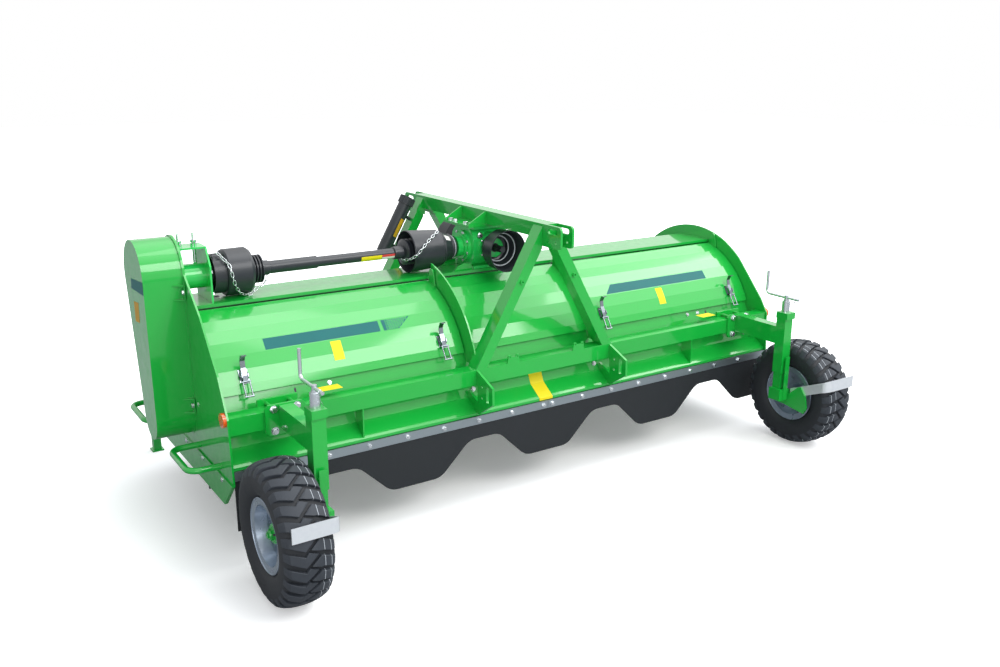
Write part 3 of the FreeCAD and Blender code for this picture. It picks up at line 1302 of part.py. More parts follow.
# ---- the set of pieces --------------------------------------------------------------------
def make_nodes():
    return {
        "hood_shell": make_hood_shell(),
        "centre_panel": make_centre_panel(),
        "dividers": make_dividers(),
        "side_plate_left": make_side_plate_left(),
        "side_plate_right": make_side_plate_right(),
        "skirt_plates": make_skirt_plates(),
        "aprons": front_and_back(make_apron()),
        "main_beams": make_main_beams(),
        "beam_gussets": make_gussets(),
        "headstock_legs": front_and_back(make_legs()),
        "top_beam": make_top_beam(),
        "link_brackets": make_link_brackets(),
        "flaps": front_and_back(make_flap()),
        "flap_strips": front_and_back(make_flap_strip()),
        "gearbox": make_gearbox(),
        "gearbox_mount": make_gearbox_mount(),
        "input_shaft": make_input_shaft(),
        "input_guards": front_and_back(make_input_guard()),
        "cross_shaft": make_cross_shaft(),
        "bearing_housing": make_bearing_housing(),
        "shaft_guards": Part.makeCompound([make_shaft_guard_left(), make_shaft_guard_right()]),
        "guard_chains": make_guard_chains(),
        "belt_cover": make_belt_cover(),
        "rotor": make_rotor(),
        "rotor_bearings": make_rotor_bearings(),
        "wheel_arms": both_sides(make_wheel_arm()),
        "cranks": both_sides(make_crank()),
        "post_left": mirrored_x(make_post()),
        "post_right": make_post(),
        "scraper_left": mirrored_x(make_scraper()),
        "scraper_right": make_scraper(),
        "tyre_left": mirrored_x(make_tyre()),
        "tyre_right": make_tyre(),
        "rim_left": mirrored_x(make_rim()),
        "rim_right": make_rim(),
        "stand_arms": both_sides(make_stand_arm()),
        "stand_left": mirrored_x(make_stand()),
        "stand_right": make_stand(),
        "door_left": make_door(-1),
        "door_right": make_door(1),
        "latches_left": mirrored_x(make_latches()),
        "latches_right": make_latches(),
        "guard_hoops": make_guard_hoops(),
        "canister": make_canister(),
        "reflectors": make_reflectors(),
    }


# The footprint's centre: the belt cover and a tyre end it sideways, a tyre and a foot plate end
# it lengthways.
CENTRE_X = (WHEEL_X + TYRE_HALF - COVER_LEFT) / 2
CENTRE_Y = (STAND_Y + STAND_FOOT / 2 + WHEEL_Y - TYRE_R) / 2


def main():
    os.makedirs("parts", exist_ok=True)
    for name, shape in make_nodes().items():
        shape.translate(vec(-CENTRE_X, -CENTRE_Y, 0))
        shape.exportStep("parts/" + name + ".step")


main()
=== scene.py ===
# %% [markdown]
# A haulm topper is a wide hood over a spinning row of flails that knocks the green tops off potato
# plants. The solid model is already finished, so this lesson only dresses it: paint, rubber, zinc,
# stickers and fasteners. Loading the solids first means that every screw finds its hole by itself.

# %% Load the fixed frame
import json
import math

import bmesh
import bpy
from mathutils import Matrix, Vector


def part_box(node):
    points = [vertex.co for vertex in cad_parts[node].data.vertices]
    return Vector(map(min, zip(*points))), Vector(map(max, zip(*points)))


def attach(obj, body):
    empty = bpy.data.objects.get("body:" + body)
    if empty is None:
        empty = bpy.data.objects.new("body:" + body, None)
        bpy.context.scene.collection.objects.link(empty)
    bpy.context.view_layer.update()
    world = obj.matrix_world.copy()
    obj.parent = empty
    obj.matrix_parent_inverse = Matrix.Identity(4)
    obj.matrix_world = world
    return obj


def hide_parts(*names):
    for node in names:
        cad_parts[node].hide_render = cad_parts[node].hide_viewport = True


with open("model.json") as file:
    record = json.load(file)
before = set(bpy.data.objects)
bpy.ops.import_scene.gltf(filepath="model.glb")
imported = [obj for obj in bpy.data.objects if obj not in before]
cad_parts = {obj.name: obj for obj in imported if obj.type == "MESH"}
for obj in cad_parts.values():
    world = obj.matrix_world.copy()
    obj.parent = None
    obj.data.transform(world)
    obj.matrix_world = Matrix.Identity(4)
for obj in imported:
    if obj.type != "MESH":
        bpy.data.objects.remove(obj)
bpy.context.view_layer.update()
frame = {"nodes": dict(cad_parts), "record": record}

# %% [markdown]
# Machines are drawn from their own middle planes, not from the corner of a page. The hood runs the
# whole width and is the same in front and behind, so its box gives both planes, and a point on the
# machine can then be named by how far it lies to the right, forwards and up.

# %% Middle planes and units
MM = 0.001
hood_low, hood_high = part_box("hood_shell")
beam_low, beam_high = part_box("main_beams")
MIDDLE_X = (hood_low.x + hood_high.x) / 2
MIDDLE_Y = (beam_low.y + beam_high.y) / 2


def at(x, y, z):
    """A point in the frame, from millimetres right of, ahead of and above the machine's middle."""
    return Vector((MIDDLE_X + x * MM, MIDDLE_Y + y * MM, z * MM))


def across(node, axis):
    """Lowest and highest place of a node along an axis, in millimetres from the middle planes."""
    low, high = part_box(node)
    middle = (MIDDLE_X, MIDDLE_Y, 0)[axis]
    return (low[axis] - middle) / MM, (high[axis] - middle) / MM


print("middle planes", round(MIDDLE_X, 4), round(MIDDLE_Y, 4))

# %% [markdown]
# Paint charts give colours as screen values, which are bent by a curve so that eight bits are enough.
# A renderer adds up light, and that only works on straight values. One function unbends them all.

# %% Colours and nodes
def linear(screen):
    """Linear colour with alpha 1 from an sRGB hex value such as "1FAE37"."""
    parts = [int(screen[i:i + 2], 16) / 255 for i in (0, 2, 4)]
    return [p / 12.92 if p <= 0.04045 else ((p + 0.055) / 1.055) ** 2.4 for p in parts] + [1.0]


def add(tree, kind, links=(), values=(), **settings):
    """Add a node: settings are its own properties, values and links go to its numbered sockets."""
    node = tree.nodes.new(kind)
    for key, value in settings.items():
        setattr(node, key, value)
    for socket, value in dict(values).items():
        node.inputs[socket].default_value = value
    for socket, source in dict(links).items():
        tree.links.new(source, node.inputs[socket])
    return node


def finish_named(name, **values):
    """A material with a principled shader, and the point in space that its patterns are drawn from."""
    material = bpy.data.materials.new(name)
    material.use_nodes = True
    tree = material.node_tree
    shader = tree.nodes["Principled BSDF"]
    for socket, value in values.items():
        shader.inputs[socket.replace("_", " ")].default_value = value
    place = add(tree, "ShaderNodeTexCoord").outputs["Object"]
    return material, tree, shader, place


def per_metre(millimetres):
    """Scale of a pattern whose features are this far apart."""
    return 1000.0 / millimetres


MIX_A, MIX_B, MIX_OUT = 6, 7, 2      # colour sockets of a mix node
print("mid grey 808080 is", round(linear("808080")[0], 3), "in linear light")

# %% [markdown]
# The body is mild steel under a polyester powder coat. Powder flows out in the oven into a gloss that
# is even from afar but has a faint orange peel, a ripple of about two millimetres. A single colour
# would look like plastic: the coat is a touch thinner and yellower on some panels, and dust dulls it
# in patches. The ripple is bump, because it is far too fine to be worth a mesh. The mirror-like part is
# left to the clear coat alone, since pigment under it has no face to the air. The gearbox and the
# bearing's housing are rougher castings, and a paler copy of the green paints light onto them. The
# rims have aluminium flake in their paint, so they are partly metal.

# %% Powder-coated steel
ORANGE_PEEL_MM = 2.6
ORANGE_PEEL_DEPTH = 0.4 * MM
PANEL_SHADE_MM = 900.0
DUST_MM = 45.0


def powder_coat(name, light, deep, roughness, flake=0.0):
    material, tree, shader, place = finish_named(name, Metallic=flake, Specular_IOR_Level=0.15,
                                                 Coat_Weight=1.0, Coat_Roughness=0.07, Coat_IOR=1.6)
    cloud = add(tree, "ShaderNodeTexNoise", {"Vector": place},
                {"Scale": per_metre(PANEL_SHADE_MM), "Detail": 2.0})
    mix = add(tree, "ShaderNodeMix", {0: cloud.outputs["Fac"]},
              {MIX_A: linear(light), MIX_B: linear(deep)}, data_type="RGBA")
    tree.links.new(mix.outputs[MIX_OUT], shader.inputs["Base Color"])
    dust = add(tree, "ShaderNodeTexNoise", {"Vector": place},
               {"Scale": per_metre(DUST_MM), "Detail": 6.0})
    dull = add(tree, "ShaderNodeMapRange", {0: dust.outputs["Fac"]},
               {1: 0.3, 2: 0.75, 3: roughness - 0.05, 4: roughness + 0.07})
    tree.links.new(dull.outputs[0], shader.inputs["Roughness"])
    peel = add(tree, "ShaderNodeTexNoise", {"Vector": place},
               {"Scale": per_metre(ORANGE_PEEL_MM), "Detail": 1.0})
    bump = add(tree, "ShaderNodeBump", {"Height": peel.outputs["Fac"]},
               {"Strength": 0.12, "Distance": ORANGE_PEEL_DEPTH})
    tree.links.new(bump.outputs[0], shader.inputs["Normal"])
    return material


green_paint = powder_coat("powder_coat_leaf_green", "15AC3C", "0DA334", 0.36)
# A paler copy of the green, as painted light on the gearbox and the bearing's housing.
lightened_casting_paint = powder_coat("green_painted_lighter_for_castings", "2CCB5C", "22C052", 0.32)
rim_paint = powder_coat("stove_enamel_silver", "9FACBB", "929FB0", 0.31, flake=0.7)
print("coats", green_paint.name, lightened_casting_paint.name, rim_paint.name)

# %% [markdown]
# Clamping strips, scrapers, latches and screws are zinc plated or hot-dip galvanised. Zinc sets in
# crystals, so the grey is patchy: spangles of some ten millimetres on dipped parts, much finer on
# plated screws. A Voronoi pattern has just such cells, and it shifts both the brightness and the
# roughness a little. The rolled strip is duller and the latches are a darker blued zinc. The scrapers'
# spring steel is painted near white and scatters a fifth of the light matt, a painted reflection of the
# lamps. The same pattern without metal makes the specks of a pale grey moulding, whose tool was sparked.

# %% Zinc and sparked moulding
def speckled(name, cell_mm, bright, dull, roughness, spread=0.06, metallic=1.0):
    """Small cells that differ a little in brightness and in gloss."""
    material, tree, shader, place = finish_named(name, Metallic=metallic)
    cells = add(tree, "ShaderNodeTexVoronoi", {"Vector": place}, {"Scale": per_metre(cell_mm)})
    mix = add(tree, "ShaderNodeMix", {0: cells.outputs["Color"]},
              {MIX_A: linear(bright), MIX_B: linear(dull)}, data_type="RGBA")
    tree.links.new(mix.outputs[MIX_OUT], shader.inputs["Base Color"])
    rough = add(tree, "ShaderNodeMapRange", {0: cells.outputs["Color"]},
                {3: roughness - spread, 4: roughness + spread})
    tree.links.new(rough.outputs[0], shader.inputs["Roughness"])
    return material


zinc_dipped = speckled("galvanised_steel", 9.0, "D3D9DC", "C9D0D4", 0.30)
zinc_plated = speckled("zinc_plated_screws", 2.5, "DCE0E2", "CDD3D7", 0.24)
zinc_rolled = speckled("rolled_galvanised_strip", 1.2, "A5AFB4", "9CA7AC", 0.46)
zinc_latch = speckled("zinc_plated_latch", 3.0, "959DA4", "848D95", 0.22)
# Near white and partly matt: a painted reflection of the lamps on the scrapers.
zinc_spring_painted_bright = speckled("spring_zinc_painted_reflection", 14.0, "F1F4F6", "EBEFF1", 0.34, 0.015, 0.8)
grey_moulding = speckled("pale_grey_moulding", 2.0, "C4C8CA", "B7BBBE", 0.5, metallic=0.0)
print("zinc", zinc_dipped.name, zinc_plated.name, zinc_rolled.name, zinc_latch.name, zinc_spring_painted_bright.name)

# %% [markdown]
# The rotor, the cross shaft and the flails are bare forgings with a thin black dip, soon rubbed by the
# crop. Worn dark steel is half metal and half oxide, so the pattern mixes both.

# %% Dark steel
WEAR_MM = 60.0


def dark_forging():
    material, tree, shader, place = finish_named("black_dipped_forging", Metallic=0.55)
    wear = add(tree, "ShaderNodeTexNoise", {"Vector": place}, {"Scale": per_metre(WEAR_MM), "Detail": 8.0})
    mix = add(tree, "ShaderNodeMix", {0: wear.outputs["Fac"]},
              {MIX_A: linear("232629"), MIX_B: linear("4A4D50")}, data_type="RGBA")
    tree.links.new(mix.outputs[MIX_OUT], shader.inputs["Base Color"])
    rough = add(tree, "ShaderNodeMapRange", {0: wear.outputs["Fac"]}, {3: 0.42, 4: 0.62})
    tree.links.new(rough.outputs[0], shader.inputs["Roughness"])
    return material


dark_steel = dark_forging()
print("forging", dark_steel.name)

# %% [markdown]
# The drive guards, the input bells and the paper canister are moulded polyethylene with a fine sparked
# texture. It scatters light softly and still keeps a low sheen along the edges of the bells.

# %% Moulded polyethylene
FLOW_MARK_MM = 70.0
SPARKED_GRAIN_MM = 1.6
SPARKED_DEPTH = 0.3 * MM


def moulded_black():
    material, tree, shader, place = finish_named("moulded_polyethylene_black", Metallic=0.0, IOR=1.51)
    cloud = add(tree, "ShaderNodeTexNoise", {"Vector": place},
                {"Scale": per_metre(FLOW_MARK_MM), "Detail": 5.0})
    mix = add(tree, "ShaderNodeMix", {0: cloud.outputs["Fac"]},
              {MIX_A: linear("202327"), MIX_B: linear("2D3136")}, data_type="RGBA")
    tree.links.new(mix.outputs[MIX_OUT], shader.inputs["Base Color"])
    rough = add(tree, "ShaderNodeMapRange", {0: cloud.outputs["Fac"]}, {3: 0.27, 4: 0.36})
    tree.links.new(rough.outputs[0], shader.inputs["Roughness"])
    grain = add(tree, "ShaderNodeTexNoise", {"Vector": place},
                {"Scale": per_metre(SPARKED_GRAIN_MM), "Detail": 2.0})
    bump = add(tree, "ShaderNodeBump", {"Height": grain.outputs["Fac"]},
               {"Strength": 0.15, "Distance": SPARKED_DEPTH})
    tree.links.new(bump.outputs[0], shader.inputs["Normal"])
    return material


black_plastic = moulded_black()
print("plastic", black_plastic.name)

# %% [markdown]
# The flaps are cut from cloth-reinforced conveyor rubber and the tyres are moulded rubber. Both bloom
# to a dusty dark grey. The flap keeps long faint scuffs from the stems that brush along it, so its
# noise is stretched upwards. On a tyre the lugs' faces are dustier, and the grooves and sidewalls are
# painted darker as painted shade, so the lugs have a rubber of their own.

# %% Rubber
BLOOM_MM = 55.0
RUBBER_DEPTH = 0.6 * MM
EVEN = (1.0, 1.0, 1.0)
DRAWN_UP = (1.0, 1.0, 0.25)


def rubber(name, dark, dusty, stretch, grain_mm, grain_strength):
    material, tree, shader, place = finish_named(name, Metallic=0.0, IOR=1.5)
    drawn = add(tree, "ShaderNodeMapping", {"Vector": place}, {"Scale": stretch})
    bloom = add(tree, "ShaderNodeTexNoise", {"Vector": drawn.outputs[0]},
                {"Scale": per_metre(BLOOM_MM), "Detail": 7.0, "Roughness": 0.62})
    mix = add(tree, "ShaderNodeMix", {0: bloom.outputs["Fac"]},
              {MIX_A: linear(dark), MIX_B: linear(dusty)}, data_type="RGBA")
    tree.links.new(mix.outputs[MIX_OUT], shader.inputs["Base Color"])
    rough = add(tree, "ShaderNodeMapRange", {0: bloom.outputs["Fac"]}, {3: 0.55, 4: 0.75})
    tree.links.new(rough.outputs[0], shader.inputs["Roughness"])
    grain = add(tree, "ShaderNodeTexNoise", {"Vector": place},
                {"Scale": per_metre(grain_mm), "Detail": 3.0})
    bump = add(tree, "ShaderNodeBump", {"Height": grain.outputs["Fac"]},
               {"Strength": grain_strength, "Distance": RUBBER_DEPTH})
    tree.links.new(bump.outputs[0], shader.inputs["Normal"])
    return material


flap_rubber = rubber("conveyor_rubber", "14181B", "1C2125", DRAWN_UP, 2.0, 0.25)
# Darker than the lugs' rubber: painted shade in the grooves and on the sidewalls.
tyre_rubber = rubber("tyre_rubber_painted_groove_shade", "14171B", "20242A", EVEN, 1.5, 0.2)
lug_rubber = rubber("dusty_tread_rubber", "252A30", "353A41", EVEN, 1.5, 0.2)
print("rubber", flap_rubber.name, tyre_rubber.name, lug_rubber.name)

# %% [markdown]
# A new tyre leaves the works with two thin lines sprayed round its tread, to tell sizes apart in a
# stack. They lie at fixed distances from the wheel's own middle, so they can be drawn by one
# coordinate alone, and they break off in the grooves because only the lugs' rubber has them.

# %% Paint lines on the lugs
PAINT_LINES = (1438.0, 1466.0)       # from the machine's middle plane, on both wheels
PAINT_LINE_HALF = 1.1 * MM
tree = lug_rubber.node_tree
shader = tree.nodes["Principled BSDF"]
rubber_colour = shader.inputs["Base Color"].links[0].from_socket
place = add(tree, "ShaderNodeTexCoord").outputs["Object"]
sideways = add(tree, "ShaderNodeSeparateXYZ", {0: place}).outputs["X"]
offset = add(tree, "ShaderNodeMath", {0: sideways}, {1: MIDDLE_X}, operation="SUBTRACT").outputs[0]
distance = add(tree, "ShaderNodeMath", {0: offset}, operation="ABSOLUTE").outputs[0]
lines = [add(tree, "ShaderNodeMath", {0: distance}, {1: x * MM, 2: PAINT_LINE_HALF}, operation="COMPARE")
         for x in PAINT_LINES]
either = add(tree, "ShaderNodeMath", {0: lines[0].outputs[0], 1: lines[1].outputs[0]}, operation="MAXIMUM")
painted = add(tree, "ShaderNodeMix", {0: either.outputs[0], MIX_A: rubber_colour},
              {MIX_B: linear("A9AEB2")}, data_type="RGBA")
tree.links.new(painted.outputs[MIX_OUT], shader.inputs["Base Color"])
print("paint lines", PAINT_LINES, "mm from the middle")

# %% [markdown]
# A retro-reflector is clear orange acrylic over a moulded field of cube corners three millimetres wide.
# Small cells under a glossy coat are enough to make it sparkle without being glass. Each cell is painted
# lighter in its middle and darker at its rim, as painted shading of the cube corners.

# %% Reflector
CUBE_CORNER_MM = 3.2
CUBE_CORNER_DEPTH = 0.8 * MM


def reflector_acrylic():
    material, tree, shader, place = finish_named("orange_reflector_acrylic", Roughness=0.25, IOR=1.49,
                                                 Coat_Weight=1.0, Coat_Roughness=0.04)
    cells = add(tree, "ShaderNodeTexVoronoi", {"Vector": place}, {"Scale": per_metre(CUBE_CORNER_MM)})
    # Painted shading: each cube corner is lighter in its middle and darker at its rim.
    mix = add(tree, "ShaderNodeMix", {0: cells.outputs["Distance"]},
              {MIX_A: linear("F2711C"), MIX_B: linear("D9480F")}, data_type="RGBA")
    tree.links.new(mix.outputs[MIX_OUT], shader.inputs["Base Color"])
    bump = add(tree, "ShaderNodeBump", {"Height": cells.outputs["Distance"]},
               {"Strength": 0.5, "Distance": CUBE_CORNER_DEPTH})
    tree.links.new(bump.outputs[0], shader.inputs["Normal"])
    return material


reflector = reflector_acrylic()
print("reflector", reflector.name)

# %% [markdown]
# Every solid takes the finish of its slot in the record, so that a solid added later is dressed too. A
# few nodes share a slot but not a finish, and they are named one by one.

# %% Dress the solids
FINISH_OF_SLOT = {"green_paint": green_paint, "zinc_steel": zinc_dipped, "dark_steel": dark_steel,
                  "black_plastic": black_plastic, "flap_rubber": flap_rubber, "tyre_rubber": tyre_rubber,
                  "rim_paint": rim_paint, "red_lens": reflector}
# The gearbox and the bearing's housing take the paler green that paints light on them.
OWN_FINISH = {"flap_strips": zinc_rolled, "gearbox": lightened_casting_paint, "bearing_housing": lightened_casting_paint,
              # The scrapers take the near-white zinc, a painted reflection.
              "scraper_left": zinc_spring_painted_bright, "scraper_right": zinc_spring_painted_bright,
              "latches_left": zinc_latch, "latches_right": zinc_latch}
for part in frame["record"]["subparts"]:
    solid = frame["nodes"][part["node"]]
    solid.data.materials.clear()
    solid.data.materials.append(OWN_FINISH.get(part["node"], FINISH_OF_SLOT[part["material_slot"]]))

# %% [markdown]
# Small parts are built in one bmesh each and joined, because a thousand separate screws would only slow
# everything down. Each builder works about its own origin, in millimetres, and is then aimed and moved
# into place by a matrix.

# %% Helpers for turned pieces
def aimed(place, direction, turn=0.0):
    """Matrix that stands a piece's +Z along direction, with its origin at place."""
    facing = Vector(direction).normalized().to_track_quat("Z", "Y").to_matrix().to_4x4()
    return Matrix.Translation(place) @ facing @ Matrix.Rotation(math.radians(turn), 4, "Z")


def drum(mesh, matrix, radius, low, high, sides=24, top=None):
    """Closed cylinder, or a cone where top is given, from low to high along +Z; in millimetres."""
    top = radius if top is None else top
    rings = []
    for height, r in ((low, radius), (high, top)):
        corners = [(r * math.cos(a), r * math.sin(a), height)
                   for a in (2 * math.pi * n / sides for n in range(sides))]
        rings.append([mesh.verts.new(matrix @ (Vector(corner) * MM)) for corner in corners])
    mesh.faces.new(rings[0][::-1])
    mesh.faces.new(rings[1])
    for n in range(sides):
        m = (n + 1) % sides
        mesh.faces.new((rings[0][n], rings[0][m], rings[1][m], rings[1][n]))


def made_piece(name, mesh, material, body, smooth=35.0):
    """Turn a bmesh into a piece of the machine that rides on a body."""
    data = bpy.data.meshes.new(name)
    bmesh.ops.recalc_face_normals(mesh, faces=mesh.faces)
    mesh.to_mesh(data)
    mesh.free()
    piece = bpy.data.objects.new(name, data)
    bpy.context.scene.collection.objects.link(piece)
    data.materials.append(material)
    data.shade_smooth()
    data.set_sharp_from_angle(angle=math.radians(smooth))
    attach(piece, body)
    return piece


print("turned pieces can be made")

# %% [markdown]
# A hexagon screw's sizes all follow from its thread: the head is 1.6 threads across its flats and 0.65
# high, the washer about twice the thread wide. Each head is turned a bit further than the last one,
# as no fitter lines them up.

# %% Hexagon screws
HEAD_TURN = 17.0
FLAT_SHARE, CORNER_CUT = 0.82, 0.9   # height of the hexagon before its chamfer, and the chamfer's top


def hex_screw(mesh, matrix, thread):
    """Washer and hexagonal head of a screw of this thread size."""
    half_width = 0.8 * thread
    washer = 0.16 * thread
    head = 0.65 * thread
    shoulder = washer + head * FLAT_SHARE
    drum(mesh, matrix, 1.05 * thread, 0.0, washer, 24)
    drum(mesh, matrix, half_width / math.cos(math.pi / 6), washer, shoulder, 6)
    drum(mesh, matrix, half_width * 1.06, shoulder, washer + head, 6, top=half_width * CORNER_CUT)


def screws(name, places, direction, thread, body, material=zinc_plated):
    """A group of hexagonal screws, all facing one way."""
    mesh = bmesh.new()
    for n, place in enumerate(places):
        hex_screw(mesh, aimed(place, direction, HEAD_TURN * n), thread)
    return made_piece(name, mesh, material, body)


print("screws can be made")

# %% [markdown]
# Chains, clips and springs are round wire. A wire is a ring of points carried along a line. The ring's
# own sideways direction is handed on from point to point, so that the skin doesn't twist.

# %% Helpers for wire
def bent_rod(mesh, points, radius, sides=8, closed=False, aside=None):
    """Round wire or rod along a line of points; the radius is in millimetres."""
    rings = []
    count = len(points)
    for n, point in enumerate(points):
        before = points[n - 1] if n or closed else point
        after = points[(n + 1) % count] if n < count - 1 or closed else point
        along = (after - before).normalized()
        aside = along.orthogonal() if aside is None else aside
        aside = (aside - along * aside.dot(along)).normalized()
        third = along.cross(aside)
        rings.append([mesh.verts.new(point + (aside * math.cos(a) + third * math.sin(a)) * radius * MM)
                      for a in (2 * math.pi * k / sides for k in range(sides))])
    for first, second in zip(rings, rings[1:] + rings[:1] if closed else rings[1:]):
        for k in range(sides):
            m = (k + 1) % sides
            mesh.faces.new((first[k], first[m], second[m], second[k]))
    if not closed:
        mesh.faces.new(rings[0][::-1])
        mesh.faces.new(rings[-1])


def rounded_line(points, steps=6):
    """Smooth line through given points (Catmull-Rom)."""
    line = []
    ends = [points[0]] + list(points) + [points[-1]]
    for a, b, c, d in zip(ends, ends[1:], ends[2:], ends[3:]):
        for n in range(steps):
            t = n / steps
            line.append((b * 2 + (c - a) * t + (a * 2 - b * 5 + c * 4 - d) * t * t
                         + (b * 3 - a - c * 3 + d) * t * t * t) * 0.5)
    return line + [points[-1]]


def ring_round(mesh, centre, axis, radius, wire, count=48):
    """Hoop of round wire about an axis; both radii are in millimetres."""
    turn = aimed(centre, axis)
    points = [turn @ (Vector((radius * math.cos(a), radius * math.sin(a), 0)) * MM)
              for a in (2 * math.pi * n / count for n in range(count))]
    bent_rod(mesh, points, wire, 8, True, Vector(axis).normalized())


print("wires can be bent")

# %% [markdown]
# The rubber flap hangs from a zinc strip that is screwed through it every 191 mm. The strip comes in
# two lengths, so the row starts a little way off the joint and repeats on both halves.

# %% Strip screws
SCREW_PITCH = 191.1
SCREW_FIRST = 27.3
SCREWS_A_HALF = 8
strip_z = sum(across("flap_strips", 2)) / 2
strip_faces = across("flap_strips", 1)
for where, y, out in (("rear", strip_faces[0], -1), ("front", strip_faces[1], 1)):
    places = [at(side * (SCREW_FIRST + SCREW_PITCH * k), y, strip_z)
              for side in (-1, 1) for k in range(SCREWS_A_HALF)]
    screws("strip_screws_" + where, places, (0, out, 0), 11.0, "chassis")
print("strip screws at", round(strip_z, 1), "mm")

# %% [markdown]
# The wheel arms and the stand arms are clamped round the main beams by four bolts each. The solids
# already carry the bolts' shanks, so only heads and nuts are added, slid over the shanks' ends.

# %% Clamp bolts
POST_SIDE = 1356.0                   # a wheel's post, from the middle plane
STAND_CLAMP = 1504.0
CLAMP_BOLT = 50.0                    # bolts stand this far to either side of the clamp's middle
CLAMP_ROWS = (667.0, 572.0)
CLAMP_PLATE = 12.0
BEAM = 75.0
CLAMP_THREAD = 16.0
beam_faces = across("main_beams", 1)
for where, middle, face, out in (("rear", POST_SIDE, beam_faces[0] - CLAMP_PLATE, -1),
                                 ("front", STAND_CLAMP, beam_faces[1] + CLAMP_PLATE, 1)):
    bolts = [side * middle + offset for side in (-1, 1) for offset in (-CLAMP_BOLT, CLAMP_BOLT)]
    heads = [at(x, face, z) for x in bolts for z in CLAMP_ROWS]
    screws("clamp_heads_" + where, heads, (0, out, 0), CLAMP_THREAD, "chassis")
    nut_face = face - out * (2 * CLAMP_PLATE + BEAM)
    nuts = [at(x, nut_face, CLAMP_ROWS[0]) for x in bolts]
    screws("clamp_nuts_" + where, nuts, (0, -out, 0), CLAMP_THREAD, "chassis")
print("clamp bolts round beams at", [round(face, 1) for face in beam_faces])

# %% [markdown]
# Carriage bolts hold the wear strips along the foot of the side plates: a low round head outside. The
# tabs of the belt cover have a hexagon screw each.

# %% Skirt and cover screws
CARRIAGE_HEAD_R = 11.0
SKIRT_BOLT_Z = 360.0
SKIRT_BOLTS_Y = (-513, -244, -2, 244, 513)
skirt_faces = across("skirt_plates", 0)
for where, x, out in (("left", skirt_faces[0], -1), ("right", skirt_faces[1], 1)):
    heads = bmesh.new()
    for y in SKIRT_BOLTS_Y:
        seat = aimed(at(x, y, SKIRT_BOLT_Z), (out, 0, 0))
        drum(heads, seat, CARRIAGE_HEAD_R, 0.0, CARRIAGE_HEAD_R * 0.25, 20)
        drum(heads, seat, CARRIAGE_HEAD_R * 0.92, CARRIAGE_HEAD_R * 0.25, CARRIAGE_HEAD_R * 0.5, 20,
             top=CARRIAGE_HEAD_R * 0.5)
    made_piece("skirt_bolts_" + where, heads, zinc_plated, "chassis")

COVER_TAB_X = -1607.0                # outer face of a tab on the left side plate
tab_holes = [at(COVER_TAB_X, -175, z) for z in (1095, 585)]
screws("cover_tab_screws", tab_holes, (-1, 0, 0), 12.0, "chassis")
print("skirt bolts on planes", [round(face, 1) for face in skirt_faces])

# %% [markdown]
# On the sheet under each door sits a row of small screws, with one oblong hole per door for the catch;
# each hole is a flat dark disc, painted shade where the hole is.
# The sheet leans, so a place on it is found from its height along the line between its two folds.

# %% Apron screws and catch slots as painted shade
APRON_TOP, APRON_FOLD = (-448.0, 700.0), (-540.0, 498.0)
APRON_FACING = Vector((0, APRON_FOLD[1] - APRON_TOP[1], APRON_TOP[0] - APRON_FOLD[0])).normalized()
SLOT_R, SLOT_SQUEEZE = 11.0, 0.45


def on_apron(x, z):
    """A place on the upper facet of the rear apron at this height."""
    share = (z - APRON_FOLD[1]) / (APRON_TOP[1] - APRON_FOLD[1])
    return at(x, APRON_FOLD[0] + share * (APRON_TOP[0] - APRON_FOLD[0]), z)


screws("catch_screws_rear", [on_apron(x, 676) for x in (-1085, 1109, 1189)], APRON_FACING, 10.0, "chassis")
screws("bracket_screws_rear", [on_apron(x, 530) for x in (-375, 375)], APRON_FACING, 12.0, "chassis")
# Each catch slot is a thin disc of dark steel, as painted shade inside the hole.
slot_shade_discs = bmesh.new()
for x in (-1246, 1255):
    squeezed = aimed(on_apron(x, 672), APRON_FACING) @ Matrix.Scale(SLOT_SQUEEZE, 4, (1, 0, 0))
    drum(slot_shade_discs, squeezed, SLOT_R, 0.0, 0.4, 24)
made_piece("catch_slot_painted_shade", slot_shade_discs, dark_steel, "chassis")
print("apron facing", [round(v, 3) for v in APRON_FACING])

# %% [markdown]
# The gearbox is bolted up under its plate and carries flanges on three sides, each with a ring of
# screws. A bolt circle is easiest as an angle and a radius about the shaft.

# %% Gearbox and bearing screws
SHAFT_Z = 1125.0
MOUNT_PLATE = 12.0
MOUNT_EDGE = 28.0
NECK_FACE = -123.5                   # left face of the flange round the cross shaft
INPUT_FACE = 122.0                   # faces of the flanges round the input stubs, front and rear
STRAP_THREAD = 12.0


def bolt_circle(centre, axis, radius, count, first=0.0):
    """Places on a circle about a shaft along X or Y."""
    x, y, z = centre
    places = []
    for n in range(count):
        a = math.radians(first + 360.0 / count * n)
        side, up = radius * math.cos(a), radius * math.sin(a)
        places.append(at(x, y + side, z + up) if axis == "X" else at(x + side, y, z + up))
    return places


mount_low, mount_high = across("gearbox_mount", 0)
plate_top = across("gearbox_mount", 2)[0] + MOUNT_PLATE
corners = [at(x, y, plate_top) for x in (mount_low + MOUNT_EDGE, mount_high - MOUNT_EDGE)
           for y in (-98, -50, 50, 98)]
screws("mount_screws", corners, (0, 0, 1), 14.0, "chassis")
neck = bolt_circle((NECK_FACE, 0, SHAFT_Z), "X", 77, 8, 22.5)
screws("neck_screws", neck, (-1, 0, 0), 8.0, "chassis")
for where, out in (("rear", -1), ("front", 1)):
    flange = bolt_circle((0, out * INPUT_FACE, SHAFT_Z), "Y", 73.5, 6, 30)
    screws("input_plate_screws_" + where, flange, (0, out, 0), 6.0, "chassis")
plugs = [at(x, -110, z) for x, z in ((84, 1180), (84, 1060), (-70, 1190))]
screws("gearbox_plugs", plugs, (0, -1, 0), 14.0, "chassis")
strap_x = across("bearing_housing", 0)[1]
